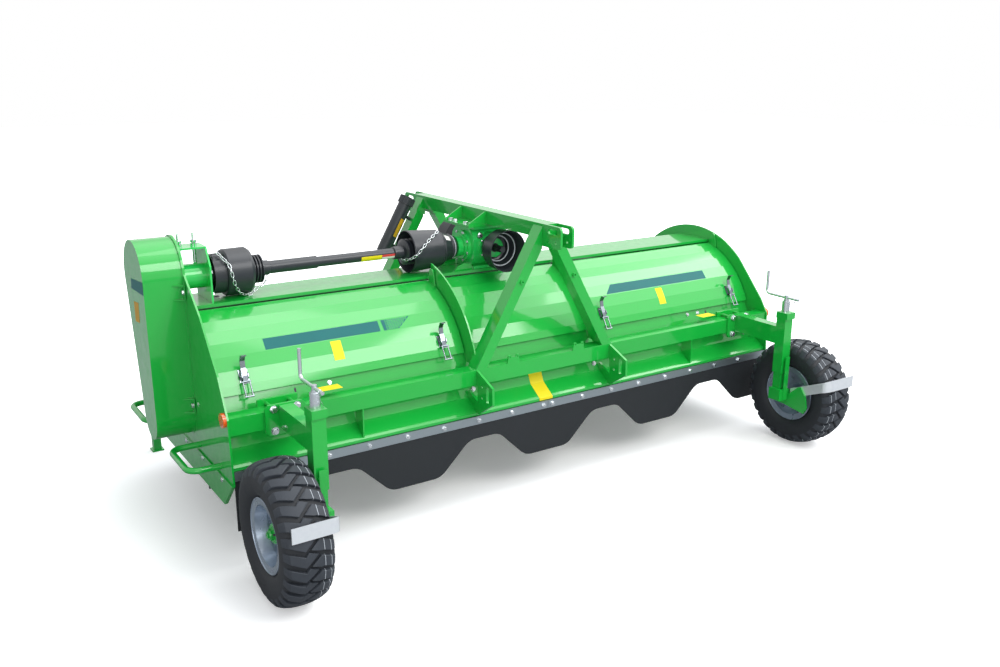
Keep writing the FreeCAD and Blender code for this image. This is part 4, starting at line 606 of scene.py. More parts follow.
strap_places = [at(strap_x, y, z) for y in (-84, 84) for z in (1050, 1150)]
screws("strap_screws", strap_places, (1, 0, 0), STRAP_THREAD, "chassis")
print("gearbox plate top", round(plate_top, 1))

# %% [markdown]
# A tractor's drive shaft slides onto six splines and is held by a ball that drops into a groove. The
# stubs are turned and milled here on the solid's own diameter and length.

# %% Input splines
STUB_R, STUB_ROOT, STUB_LENGTH, CORE_R = 17.45, 14.9, 75.0, 24.0
STUB_STATIONS = ((0, STUB_R), (36, STUB_R), (38, STUB_ROOT), (45, STUB_ROOT), (47, STUB_R), (73, STUB_R),
                 (STUB_LENGTH, STUB_ROOT))
TOOTH = ((-17.0, False), (-14.4, True), (0.0, True), (14.4, True), (17.0, False))   # degrees, on crest
TEETH = 6
stub_end = across("input_shaft", 1)[1]
core_end = stub_end - STUB_LENGTH
splines = bmesh.new()
drum(splines, aimed(at(0, 0, SHAFT_Z), (0, 1, 0)), CORE_R, -core_end, core_end, 40)
for out in (-1, 1):
    stand = aimed(at(0, out * core_end, SHAFT_Z), (0, out, 0))
    rings = []
    for height, crest in STUB_STATIONS:
        turns = [(math.radians(360.0 / TEETH * k + turn), crest if high else STUB_ROOT)
                 for k in range(TEETH) for turn, high in TOOTH]
        rings.append([splines.verts.new(stand @ (Vector((r * math.cos(a), r * math.sin(a), height)) * MM))
                      for a, r in turns])
    for first, second in zip(rings, rings[1:]):
        for k in range(len(first)):
            m = (k + 1) % len(first)
            splines.faces.new((first[k], first[m], second[m], second[k]))
    splines.faces.new(rings[-1])
stub_piece = made_piece("splined_input_shaft", splines, dark_steel, "input_shaft", 12.0)
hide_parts("input_shaft")
print("stub ends at", round(stub_end, 1))

# %% [markdown]
# The strap over the bearing is pulled up by two threaded rods, each with a nut and a lock nut. Rod and
# nuts are plated, so plated sleeves go over the solid's green rods: the thread's crests are a fine
# helix, close enough here as rings two and a half millimetres apart.

# %% Tension rods
ROD_R, ROD_CREST, ROD_PITCH, ROD_LENGTH = 7.2, 1.07, 2.5, 54.0
ROD_SIDES = (-1566.0, -1500.0)
STRAP_TOP = 1262.0
NUT_R, NUT_HEIGHT, NUT_STEP = 14.5, 10.5, 14.0
SLEEVE_R, SLEEVE_FOOT, SLEEVE_LENGTH = 7.6, 1186.0, 67.0


def threaded(mesh, matrix, radius, length, pitch):
    """Threaded rod standing on the matrix's origin, as a stack of flat cones."""
    for n in range(int(length / pitch)):
        low, middle, high = n * pitch, (n + 0.5) * pitch, (n + 1) * pitch
        drum(mesh, matrix, radius, low, middle, 14, top=radius * ROD_CREST)
        drum(mesh, matrix, radius * ROD_CREST, middle, high, 14, top=radius)


rods = bmesh.new()
for x in ROD_SIDES:
    threaded(rods, aimed(at(x, 0, STRAP_TOP + 1), (0, 0, 1)), ROD_R, ROD_LENGTH, ROD_PITCH)
    for z in (STRAP_TOP, STRAP_TOP + NUT_STEP):
        drum(rods, aimed(at(x, 0, z), (0, 0, 1), x), NUT_R, 0.0, NUT_HEIGHT, 6)
    drum(rods, aimed(at(x, 0, SLEEVE_FOOT), (0, 0, 1)), SLEEVE_R, 0.0, SLEEVE_LENGTH, 20)
made_piece("tension_rods", rods, zinc_plated, "chassis")
print("rods with", int(ROD_LENGTH / ROD_PITCH), "turns of thread")

# %% [markdown]
# The wheels turn on stub axles. Each disc is held by five nuts round a green hub whose castle nut
# stands out, and a rubber valve pokes through the rim. The rim's flange is rolled over at its edge and
# steps in once, which a bead of wire shows on either side. All of it rides on the wheel, so it spins.

# %% Wheel nuts, hubs and rims
AXLE_X, AXLE_Y, AXLE_Z = 1510.0, -960.0, 291.0
DISC_FACE = 4.0                      # outer face of the disc, from the tyre's middle
HUB_STEPS = ((50.0, 50.0, 0.0, 10.0, 40), (44.0, 41.0, 10.0, 42.0, 40), (41.0, 36.0, 42.0, 47.0, 40),
             (24.0, 24.0, 47.0, 58.0, 6), (20.0, 18.0, 58.0, 63.0, 24), (12.0, 12.0, 63.0, 69.0, 20))
VALVE_STEPS = ((5.5, 4.5, 0.0, 28.0, 16), (5.0, 5.0, 28.0, 40.0, 12))
RIM_BEADS = ((81.0, 150.0, 3.0), (77.0, 137.0, 2.2))      # off the middle, radius, wire


def stepped(name, seat, steps, material, body):
    """Turned piece in steps of: radius at the foot, radius at the head, from, to, sides."""
    mesh = bmesh.new()
    for foot, head, low, high, sides in steps:
        drum(mesh, seat, foot, low, high, sides, top=head)
    return made_piece(name, mesh, material, body)


for where, side in (("left", -1), ("right", 1)):
    body = "wheel_" + where
    outwards = (side, 0, 0)
    disc_x = side * (AXLE_X + DISC_FACE)
    nuts = bolt_circle((disc_x, AXLE_Y, AXLE_Z), "X", 70, 5, 18)
    screws("wheel_nuts_" + where, nuts, outwards, 14.0, body, dark_steel)
    stepped("hub_" + where, aimed(at(disc_x, AXLE_Y, AXLE_Z), outwards), HUB_STEPS, green_paint, body)
    valve = aimed(at(side * (AXLE_X + 40), AXLE_Y - 96, AXLE_Z + 40), (side, 0.35, 0))
    stepped("valve_" + where, valve, VALVE_STEPS, black_plastic, body)
    beads = bmesh.new()
    for face in (-1, 1):
        for off, radius, wire in RIM_BEADS:
            middle = at(side * (AXLE_X + face * off), AXLE_Y, AXLE_Z)
            ring_round(beads, middle, (1, 0, 0), radius, wire, 72)
    made_piece("rim_beads_" + where, beads, rim_paint, body)
print("hubs stand", DISC_FACE + HUB_STEPS[-1][3], "mm off the tyres' middle")

# %% [markdown]
# The stickers are printed vinyl film, a tenth of a millimetre thick, with a satin face that hardly
# mirrors anything. The ink is a little uneven from the printing rollers and from the sun. All of them
# are blank here: a band of teal, a dotted patch, and plain colours where a notice would be.

# %% Printed film
FADING_MM = 120.0


def printed_film(name, ink, faded):
    material, tree, shader, place = finish_named(name, Roughness=0.5, Specular_IOR_Level=0.25)
    sun = add(tree, "ShaderNodeTexNoise", {"Vector": place}, {"Scale": per_metre(FADING_MM), "Detail": 3.0})
    mix = add(tree, "ShaderNodeMix", {0: sun.outputs["Fac"]},
              {MIX_A: linear(ink), MIX_B: linear(faded)}, data_type="RGBA")
    tree.links.new(mix.outputs[MIX_OUT], shader.inputs["Base Color"])
    return material


teal_film = printed_film("printed_film_teal", "0C5E5C", "0F6664")
yellow_film = printed_film("printed_film_signal_yellow", "EAD51C", "E2CC18")
pale_film = printed_film("printed_film_white", "E9E6DE", "DEDAD2")
red_film = printed_film("printed_film_red", "D0443E", "C63B36")
gold_film = printed_film("printed_film_ochre", "C99A1E", "BE901A")


def film(name, outlines, material, body):
    """A film from one or more flat outlines that meet at the folds."""
    mesh = bmesh.new()
    for outline in outlines:
        mesh.faces.new([mesh.verts.new(point) for point in outline])
    return made_piece(name, mesh, material, body)


print("films in five inks")

# %% [markdown]
# The hood is sheet folded into flat facets, and a film follows them facet by facet. It is easiest to
# name a place on the hood by its angle about the hood's centre: the facet there is a chord, so its
# distance from the centre shrinks a little between two folds. A film is cut where it crosses a fold.

# %% Films on the folded hood
HOOD_R = 505.0
HOOD_Z = 510.0
FOLD_FIRST, FOLD_STEP, FACETS = 26.5, 7.5, 6
FOLDS = [FOLD_FIRST + FOLD_STEP * n for n in range(FACETS + 1)]
FILM_LIFT = 0.5
OFF_FOLD = 0.001                     # keeps an edge on its own side of a fold, in degrees


def on_hood(x, angle, lift=FILM_LIFT):
    """A place on the folded hood, by its angle above the horizontal through the hood's centre."""
    facet = min(max(int((angle - FOLD_FIRST) // FOLD_STEP), 0), FACETS - 1)
    middle = FOLD_FIRST + FOLD_STEP * (facet + 0.5)
    facet_r = HOOD_R * math.cos(math.radians(FOLD_STEP / 2)) / math.cos(math.radians(angle - middle))
    a = math.radians(angle)
    return at(x, -(facet_r + lift) * math.cos(a), HOOD_Z + (facet_r + lift) * math.sin(a))


def hood_film(left, right, low, high):
    """Outlines of a film between two angles, cut at the folds; its sides may lean: (at low, at high)."""
    levels = [low] + [a for a in FOLDS if low < a < high] + [high]
    outlines = []
    for a, b in zip(levels, levels[1:]):
        corners = []
        for side, angle, off in ((left, a, OFF_FOLD), (right, a, OFF_FOLD), (right, b, -OFF_FOLD),
                                 (left, b, -OFF_FOLD)):
            share = (angle - low) / (high - low)
            corners.append(on_hood(side[0] + (side[1] - side[0]) * share, angle + off))
        outlines.append(corners)
    return outlines


BAND_LOW, BAND_HIGH = 41.9, 48.3
PATCH_LEFT, PATCH_RIGHT = (-747, -743), (-689, -617)
for name, left, right, body in (("band_left", (-1336, -1334), (-785, -782), "door_left"),
                                ("band_right", (574, 629), (1330, 1334), "door_right"),
                                ("band_bar", (-766, -766), (-750, -746), "door_left"),
                                ("band_patch", PATCH_LEFT, PATCH_RIGHT, "door_left")):
    band = film(name, hood_film(left, right, BAND_LOW, BAND_HIGH), teal_film, body)
print("facets under the last band:", len(band.data.polygons))

# %% [markdown]
# The patch at the end of the left band is a screen of dots through which the paint shows. Each dot is
# a thin disc in the paint's own green, and every second row is moved on by half a pitch.

# %% Dots in the patch
DOT_ROWS, DOT_PITCH, DOT_R, DOT_LIFT = 8, 9.0, 3.3, 0.2
DOT_MARGINS = (6, 5)                 # plain teal left at either end of a row
dots = bmesh.new()
for row in range(DOT_ROWS):
    share = (row + 0.5) / DOT_ROWS
    angle = BAND_LOW + (BAND_HIGH - BAND_LOW) * share
    start = PATCH_LEFT[0] + (PATCH_LEFT[1] - PATCH_LEFT[0]) * share + DOT_MARGINS[0]
    start += (row % 2) * DOT_PITCH / 2
    end = PATCH_RIGHT[0] + (PATCH_RIGHT[1] - PATCH_RIGHT[0]) * share - DOT_MARGINS[1]
    facing = on_hood(0, angle, 1.0) - on_hood(0, angle, 0.0)
    for k in range(int((end - start) / DOT_PITCH) + 1):
        drum(dots, aimed(on_hood(start + k * DOT_PITCH, angle), facing), DOT_R, 0.0, DOT_LIFT, 12)
dot_piece = made_piece("band_dots", dots, green_paint, "door_left")
print("dots:", len(dot_piece.data.vertices) // 24)

# %% [markdown]
# The plain labels come next. Those on the doors follow the facets as the bands do. The others lie on
# flat faces or bend over the folds of the apron; their corners are given on the face itself, and the
# film is lifted off it by half a millimetre, so that the two don't flicker.

# %% Labels on the doors, beams, apron and belt cover
for name, left, right, low, high, body in (
        ("label_door_left", (-1044, -1042), (-994, -992), 30.3, 40.7, "door_left"),
        ("label_door_right", (915, 919), (962, 968), 29.6, 40.6, "door_right")):
    film(name, hood_film(left, right, low, high), yellow_film, body)

beam_top = across("main_beams", 2)[1] + FILM_LIFT
beam_back = across("main_beams", 1)[0]
BEAM_LABEL_Y = (3, 62)               # from the beam's rear edge
for name, x0, x1 in (("label_beam_left", -1188, -1088), ("label_beam_right", 1080, 1180)):
    y0, y1 = (beam_back + y for y in BEAM_LABEL_Y)
    film(name, [[at(x0, y0, beam_top), at(x1, y0, beam_top), at(x1, y1, beam_top), at(x0, y1, beam_top)]],
         yellow_film, "chassis")

APRON_LABEL_X = (-44, 36)
APRON_LINE = ((-502.0, 582.0), (-540.6, 498.3), (-620.5, 443.8), (-620.6, 432.0))
left, right = APRON_LABEL_X
film("label_apron", [[at(left, y0 - FILM_LIFT, z0), at(right, y0 - FILM_LIFT, z0),
                      at(right, y1 - FILM_LIFT, z1), at(left, y1 - FILM_LIFT, z1)]
                     for (y0, z0), (y1, z1) in zip(APRON_LINE, APRON_LINE[1:])], yellow_film, "chassis")

COVER_BAND = ((43, 1137), (-160, 1154), (-155, 1097), (53, 1091))
COVER_LABEL = ((31, 1037), (-51, 1045), (-41, 954), (32, 946))
cover_skin = across("belt_cover", 0)[0] - FILM_LIFT
for name, outline, ink in (("band_cover", COVER_BAND, teal_film), ("label_cover", COVER_LABEL, gold_film)):
    film(name, [[at(cover_skin, y, z) for y, z in outline]], ink, "chassis")
print("beam labels at", round(beam_top, 1), "mm")

# %% [markdown]
# The drive shaft's guard tube and its right bell carry labels too. A film round a tube or a cone is a
# fan of narrow flats between two angles, with one radius at either end.

# %% Films on the guards
FLATS = 8
TUBE_SKIN = (25.6, 25.6)
BELL_SKIN = (82.5, 69.5)


def wrapped(origin, axis, radii, span, first, last):
    """Outlines of a film wrapped on a round piece; angles start from the rearward direction."""
    axis = Vector(axis).normalized()
    rear = Vector((0, -1, 0))
    up = rear.cross(axis)
    outlines = []
    for n in range(FLATS):
        a, b = (math.radians(first + (last - first) * k / FLATS) for k in (n, n + 1))
        outlines.append([origin + axis * span[end] * MM
                         + (rear * math.cos(t) + up * math.sin(t)) * radii[end] * MM
                         for end, t in ((0, a), (1, a), (1, b), (0, b))])
    return outlines


shaft_line = at(0, 0, SHAFT_Z)
GUARD_LABELS = (("label_tube_yellow", TUBE_SKIN, (-702, -591), -75, 5, yellow_film),
                ("label_tube_white", TUBE_SKIN, (-590, -518), -75, -22, pale_film),
                ("label_tube_red", TUBE_SKIN, (-590, -518), -22, 5, red_film),
                ("label_bell", BELL_SKIN, (-245, -212), 38, 62, pale_film))
for name, radii, span, first, last, ink in GUARD_LABELS:
    film(name, wrapped(shaft_line, (1, 0, 0), radii, span, first, last), ink, "chassis")
print("guard labels of", FLATS, "flats each")

# %% [markdown]
# The canister for the papers is strapped along the front leg. Its clamps are flat bands, and its cap
# is ribbed for the fingers. The leg's own line gives the canister's, moved off it sideways.

# %% Canister
LEG_FOOT = Vector((-412.0, 577.5, 657.0))
LEG_HEAD = Vector((-40.0, 577.5, 1306.0))
CANISTER_R, CANISTER_OFF, CANISTER_START = 38.0, 30.0, 370.0
CANISTER_BANDS = (22, 60, 240, 262)  # along the canister, from its lower end
BAND_R, BAND_WIDTH = 38.9, 9.0
CAP_START, CAP_R, CAP_RIBS, RIB_R, RIB_LENGTH = 302.0, 43.0, 24, 2.4, 40.0
leg_run = (LEG_HEAD - LEG_FOOT).normalized()
leg_side = Vector((-leg_run.z, 0, leg_run.x))
canister_low = LEG_FOOT + leg_run * CANISTER_START + leg_side * (CANISTER_R + CANISTER_OFF)
canister = bmesh.new()
for along in CANISTER_BANDS:
    drum(canister, aimed(at(*(canister_low + leg_run * along)), leg_run), BAND_R, 0.0, BAND_WIDTH, 40)
cap = aimed(at(*(canister_low + leg_run * CAP_START)), leg_run)
for k in range(CAP_RIBS):
    rib = cap @ Matrix.Rotation(2 * math.pi * k / CAP_RIBS, 4, "Z") @ Matrix.Translation((CAP_R * MM, 0, 0))
    drum(canister, rib, RIB_R, 0.0, RIB_LENGTH, 8)
made_piece("canister_bands", canister, black_plastic, "chassis")
film("label_canister", wrapped(at(*canister_low), leg_run, (38.7, 38.7), (105, 215), -30, 6), gold_film,
     "chassis")
print("canister leans", round(math.degrees(math.asin(leg_run.x))), "degrees")

# %% [markdown]
# The right guard has a pale ring at the gearbox end, and black wire clips lock the left one at its
# outer end. Inside each input bell sit two moulded rings round the stub, and their pale grey is a
# painted highlight along their edges.

# %% Rings and clips on the guards
GUARD_END = -1470.0                  # outer end of the left guard
CLIP_FOOT = (34.0, 91.0)             # along the guard from its end, and off the shaft's line
CLIP_HALF, CLIP_RISE, CLIP_REACH, CLIP_WIRE = 9.0, 12.0, 24.0, 2.0
BELL_RINGS = ((205, 84), (172, 66))  # distance from the gearbox's middle, radius
pale_ring = bmesh.new()
drum(pale_ring, aimed(at(-190, 0, SHAFT_Z), (1, 0, 0)), 61.5, 0.0, 6, 48)
made_piece("bell_ring", pale_ring, grey_moulding, "chassis")

clips = bmesh.new()
for lean in (62, -84):
    t = math.radians(lean)
    out = Vector((0, -math.cos(t), math.sin(t)))
    aside = Vector((0, -out.z, out.y)) * CLIP_HALF
    foot = Vector((GUARD_END + CLIP_FOOT[0], 0, SHAFT_Z)) + out * CLIP_FOOT[1]
    knee = out * CLIP_RISE + Vector((-2, 0, 0))
    nose = out * (CLIP_RISE + 1) + Vector((CLIP_REACH, 0, 0))
    loop = [foot - aside, foot - aside + knee, foot - aside + nose,
            foot + aside + nose, foot + aside + knee, foot + aside]
    bent_rod(clips, rounded_line([at(*p) for p in loop]), CLIP_WIRE)
made_piece("guard_clips", clips, black_plastic, "chassis")

# The rings are pale grey as a painted highlight along their edges.
rings = bmesh.new()
for side in (-1, 1):
    for y, radius in BELL_RINGS:
        ring_round(rings, at(0, side * y, SHAFT_Z), (0, 1, 0), radius, 3.0)
made_piece("bell_rings_painted_highlight", rings, grey_moulding, "chassis")
print("rings at", BELL_RINGS)

# %% [markdown]
# Each wheel crank turns a spindle inside the post. A plated collar with a flared foot stands on the
# cap, and a thin spring wire runs from the collar over the bar and down to the cap, so that shaking
# can't turn the crank.

# %% Crank collars and wires
POST_Y = -948.0
CRANK_Z = 845.0
COLLAR_R, COLLAR_GROOVES = 14.5, (24, 40, 56)
WIRE_ROUTE = ((14, 0, -38), (8, -34, -30), (3, -56, -10), (0, -62, 10), (-10, -64, 2), (-7, -62, -22),
              (8, -44, -46), (26, -18, -76), (33.5, -12, -88))      # from the crank's middle
collars = bmesh.new()
wires = bmesh.new()
cap_top = across("wheel_arms", 2)[1]
for side in (-1, 1):
    x = side * POST_SIDE
    foot = aimed(at(x, POST_Y, cap_top), (0, 0, 1))
    drum(collars, foot, 21, 0.0, 3, 32)
    drum(collars, foot, 19, 3, 9, 32, top=COLLAR_R)
    drum(collars, foot, COLLAR_R, 9, CRANK_Z - 10 - cap_top, 32)
    for z in COLLAR_GROOVES:
        ring_round(collars, at(x, POST_Y, cap_top + z), (0, 0, 1), COLLAR_R, 1.4, 32)
    bent_rod(wires, rounded_line([at(x + dx, POST_Y + dy, CRANK_Z + dz) for dx, dy, dz in WIRE_ROUTE]), 1.6)
made_piece("crank_collars", collars, zinc_plated, "chassis")
made_piece("crank_wires", wires, zinc_plated, "chassis")
print("cap top", round(cap_top, 1))

# %% [markdown]
# Chains of welded wire keep the guards from turning. The solids hold them as square links; here each
# link is round wire bent to an oval, on the same line and spacing, every second one turned. The chain's
# line hangs under its own weight against the guards, so its points are listed one by one.

# %% Guard chains
LINK_PITCH = 20.0
LINK_HALF = 6.0
LINK_WIRE = 1.9
LINK_CORNERS = 14
STUD_IN, STUD_OUT, STUD_R = 9.0, 2.0, 2.6
CHAINS = ([(57, -39, 101), (90, -101, 53), (94, -114, 22), (98, -117, -6), (110, -109, -47), (136, -86, -84),
           (172, -57, -103), (207, -44, -103), (220, -38, -86), (248, -28, -78), (275, -22, -66),
           (292, -10, -40)],
          [(1181, -54, 98), (1115, -88, 67), (1061, -112, 32), (1029, -115, 1), (1006, -95, -19),
           (1000, -60, -30), (986, -29, -33)])      # from the left guard's end and the shaft's line


def spaced(points, pitch):
    """Points at an even spacing along a line of straight pieces."""
    pieces = list(zip(points, points[1:]))
    total = sum((b - a).length for a, b in pieces)
    count = round(total / pitch)
    places = [points[0]]
    for n in range(1, count):
        left = total * n / count
        for a, b in pieces:
            length = (b - a).length
            if left <= length:
                places.append(a + (b - a) * (left / length))
                break
            left -= length
    return places + [points[-1]]


def chain_link(mesh, start, end, wide):
    """Oval link of round wire between two joints; wide is the direction in which it is broad."""
    u = (end - start).normalized()
    v = (wide - u * wide.dot(u)).normalized()
    middle = (start + end) * 0.5
    straight = ((end - start).length / 2 + LINK_WIRE * MM) - LINK_HALF * MM
    points = []
    for n in range(LINK_CORNERS):
        a = 2 * math.pi * (n + 0.5) / LINK_CORNERS
        bow = straight if math.cos(a) > 0 else -straight
        points.append(middle + u * (bow + LINK_HALF * MM * math.cos(a)) + v * LINK_HALF * MM * math.sin(a))
    bent_rod(mesh, points, LINK_WIRE, 7, True, u.cross(v))


def from_shaft(place):
    """Vector from the shaft's line to a place."""
    away = place - at(0, 0, SHAFT_Z)
    away.x = 0
    return away


chains = bmesh.new()
for line in CHAINS:
    joints = spaced([at(GUARD_END + x, y, SHAFT_Z + z) for x, y, z in line], LINK_PITCH * MM)
    for n, (start, end) in enumerate(zip(joints, joints[1:])):
        outwards = from_shaft((start + end) * 0.5)
        chain_link(chains, start, end, outwards if n % 2 else outwards.cross(end - start))
    for joint in (joints[0], joints[-1]):
        away = from_shaft(joint).normalized()
        bent_rod(chains, [joint - away * STUD_IN * MM, joint + away * STUD_OUT * MM], STUD_R)
chain_piece = made_piece("round_link_chains", chains, zinc_plated, "chassis", 60.0)
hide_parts("guard_chains")
print("chain triangles", len(chain_piece.data.polygons) * 2)

# %% [markdown]
# The tyres keep the solids' radius, width, sidewall and number of lugs, and get their real road tread
# here. The carcass under the lugs is a turned profile: a crown that falls away to the shoulders, a
# groove's depth below the tread, and then the sidewall down to the rim.

# %% Tyre carcass
TYRE_R = 291.0
LUG_DEPTH = 13.0
SHOULDER = 99.6                      # grooves run out here, from the tyre's middle
RUN_OUT = 15.0
CROWN = ((0, 0), (30, 1.3), (50, 4.2), (70, 9.6), (84, 16), (92, 28), (97, 42), (99.4, 52))
SIDEWALL = ((100, 226), (100, 212), (97, 190), (91, 170), (78, 156), (75.7, 154), (72, 127.3))
CARCASS_STEPS = 112


def crown_drop(x):
    """How far the tread's surface lies below the tyre's radius, this far from the middle."""
    x = abs(x)
    for (x0, d0), (x1, d1) in zip(CROWN, CROWN[1:]):
        if x <= x1:
            return d0 + (d1 - d0) * (x - x0) / (x1 - x0)
    return CROWN[-1][1]


def groove_depth(x):
    """Depth of the grooves: full on the tread, running out down the shoulder."""
    return LUG_DEPTH * min(1.0, max(0.06, (SHOULDER - abs(x)) / RUN_OUT))


def tyre_point(mesh, side, x, radius, angle):
    """Corner on a tyre: outwards from its middle, off its axle, and turned back from the top."""
    turned = Vector((side * x, -radius * math.sin(angle), radius * math.cos(angle)))
    return mesh.verts.new(at(side * AXLE_X, AXLE_Y, AXLE_Z) + turned * MM)


def add_carcass(mesh, side):
    half = [(x, TYRE_R - drop - groove_depth(x)) for x, drop in CROWN] + list(SIDEWALL)
    profile = [(-x, r) for x, r in half[:0:-1]] + half
    rings = [[tyre_point(mesh, side, x, r, 2 * math.pi * n / CARCASS_STEPS) for n in range(CARCASS_STEPS)]
             for x, r in profile]
    for first, second in zip(rings, rings[1:] + rings[:1]):
        for n in range(CARCASS_STEPS):
            m = (n + 1) % CARCASS_STEPS
            mesh.faces.new((first[n], first[m], second[m], second[n]))


print("crown falls", crown_drop(SHOULDER), "mm to the shoulder")

# %% [markdown]
# Every lug is kinked, and one of its edges runs on past the middle, so that the two rows interlock
# like a zip. A lug is a strip of cross-sections between its two edges, with a small chamfer along
# each edge that catches the light. The edges are given as (outwards, share of a pitch), from the inner
# end of the lug to the shoulder, and each section then draws in a little to leave the groove.

# %% Tyres with road tread
LUG_COUNT = 28
LUG_PITCH = 2 * math.pi / LUG_COUNT
LUG_SHARE = 0.84                     # lugs are drawn this much narrower than their edges
CHAMFER = 2.2
LUG_FOOT = 1.5                       # lugs are sunk this far into the carcass
OUTER_LUG = (((-19.5, 0.40), (16.5, 0.65)), ((5.0, 0.02), (21.0, 0.58)), ((30.0, -0.36), (30.0, 0.44)),
             ((50.0, -0.22), (50.0, 0.56)), ((70.0, -0.08), (70.0, 0.68)), ((84.0, 0.02), (84.0, 0.75)),
             ((92.0, 0.07), (92.0, 0.78)), ((97.0, 0.11), (97.0, 0.80)), ((99.4, 0.14), (99.4, 0.81)))
INNER_LUG = (((-34.0, 0.54), (8.0, 0.77)), ((-37.0, 0.52), (-12.0, 1.08)), ((-45.0, 0.47), (-30.0, 1.36)),
             ((-56.0, 0.40), (-56.0, 1.20)), ((-70.0, 0.32), (-70.0, 1.09)), ((-84.0, 0.24), (-84.0, 0.98)),
             ((-92.0, 0.21), (-92.0, 0.93)), ((-97.0, 0.19), (-97.0, 0.89)),
             ((-99.4, 0.18), (-99.4, 0.86)))


def lug_section(low_edge, high_edge):
    """Cross-section of a lug as (outwards, radius, share of a pitch), from foot to foot."""
    (x_low, low), (x_high, high) = low_edge, high_edge
    trim = (1 - LUG_SHARE) / 2 * (high - low)
    low, high = low + trim, high - trim
    edge = CHAMFER / (TYRE_R * LUG_PITCH)
    x_edge = CHAMFER * (x_high - x_low) / max(1.0, (high - low) * TYRE_R * LUG_PITCH)
    section = []
    for x, ahead, down in ((x_low, low, None), (x_low, low, CHAMFER), (x_low + x_edge, low + edge, 0.0),
                           ((x_low + x_high) / 2, (low + high) / 2, 0.0),
                           (x_high - x_edge, high - edge, 0.0), (x_high, high, CHAMFER),
                           (x_high, high, None)):
        depth = groove_depth(x)
        down = depth + LUG_FOOT if down is None else min(down, depth * 0.8)
        section.append((x, TYRE_R - crown_drop(x) - down, ahead))
    return section


def add_lugs(mesh, side, edges):
    outlines = [lug_section(low_edge, high_edge) for low_edge, high_edge in edges]
    for lug in range(LUG_COUNT):
        sections = [[tyre_point(mesh, side, x, radius, -(lug + ahead) * LUG_PITCH)
                     for x, radius, ahead in outline] for outline in outlines]
        for first, second in zip(sections, sections[1:]):
            for k in range(len(first) - 1):
                mesh.faces.new((first[k], first[k + 1], second[k + 1], second[k]))
        mesh.faces.new(sections[0])
        mesh.faces.new(sections[-1][::-1])


for where, side in (("left", -1), ("right", 1)):
    mesh = bmesh.new()
    add_carcass(mesh, side)
    carcass_faces = len(mesh.faces)
    for edges in (OUTER_LUG, INNER_LUG):
        add_lugs(mesh, side, edges)
    # The carcass keeps the darker rubber as painted shade in the grooves and on the sidewalls.
    mesh.faces.ensure_lookup_table()
    for face in mesh.faces[carcass_faces:]:
        face.material_index = 1
    tyre = made_piece("tread_tyre_" + where, mesh, tyre_rubber, "wheel_" + where, 28.0)
    tyre.data.materials.append(lug_rubber)
    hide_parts("tyre_" + where)
print("tyre faces", len(tyre.data.polygons))

# %% [markdown]
# The light starts with a pale room. It is darker to the front left and brighter behind on the right,
# with a soft glow in the ceiling: a clear coat shows what it reflects, and that glow is what turns the
# upper facets of the hood milky while the upright faces keep their deep green. What is seen directly,
# through something clear or in a shiny face is plain white, by the light path, and in a shiny face the
# glow is added to it. That white casts no light of its own on matt paint.

# %% Room
TOWARDS_BRIGHT = (0.566, -0.824, 0.0)
TOWARDS_GLOW = (0.56, 0.03, 0.83)
world = bpy.data.worlds.new("pale_room")
bpy.context.scene.world = world
world.use_nodes = True
room = world.node_tree
room.nodes.clear()
aim = add(room, "ShaderNodeTexCoord").outputs["Generated"]
height = add(room, "ShaderNodeSeparateXYZ", {0: aim}).outputs["Z"]
low_shade = add(room, "ShaderNodeMapRange", {0: height}, {1: 0.0, 2: 0.9, 3: 1.15, 4: 0.5})
behind = add(room, "ShaderNodeVectorMath", {0: aim}, {1: TOWARDS_BRIGHT}, operation="DOT_PRODUCT")
side_shade = add(room, "ShaderNodeMapRange", {0: behind.outputs["Value"]},
                 {1: -1.0, 2: 1.0, 3: 0.62, 4: 1.4})
ceiling = add(room, "ShaderNodeVectorMath", {0: aim}, {1: TOWARDS_GLOW}, operation="DOT_PRODUCT")
glow = add(room, "ShaderNodeMapRange", {0: ceiling.outputs["Value"]}, {1: 0.6, 2: 0.92, 3: 0.0, 4: 1.5},
           interpolation_type="SMOOTHSTEP")
shade = add(room, "ShaderNodeMath",
            {0: low_shade.outputs[0], 1: side_shade.outputs[0], 2: glow.outputs[0]},
            operation="MULTIPLY_ADD")
soft = add(room, "ShaderNodeBackground", {"Strength": shade.outputs[0]}, {"Color": linear("EFF5FF")})
path = add(room, "ShaderNodeLightPath")
mirrored = add(room, "ShaderNodeMath", {0: glow.outputs[0], 1: path.outputs["Is Glossy Ray"]}, {2: 1.0},
               operation="MULTIPLY_ADD")
seen = add(room, "ShaderNodeBackground", {"Strength": mirrored.outputs[0]}, {"Color": linear("FFFFFF")})
direct = add(room, "ShaderNodeMath",
             {0: path.outputs["Is Camera Ray"], 1: path.outputs["Is Transmission Ray"]},
             operation="MAXIMUM")
plain = add(room, "ShaderNodeMath", {0: direct.outputs[0], 1: path.outputs["Is Glossy Ray"]},
            operation="MAXIMUM")
choice = add(room, "ShaderNodeMixShader", {0: plain.outputs[0], 1: soft.outputs[0], 2: seen.outputs[0]})
add(room, "ShaderNodeOutputWorld", {"Surface": choice.outputs[0]})
print("room with", len(room.nodes), "nodes")

# %% [markdown]
# Soft boxes do the modelling: one overhead, one to the right and a wide one over the viewer's right
# shoulder, with a weak fill from the left. A lamp's power spreads over its face, so it is worked out
# from how bright the face should look.

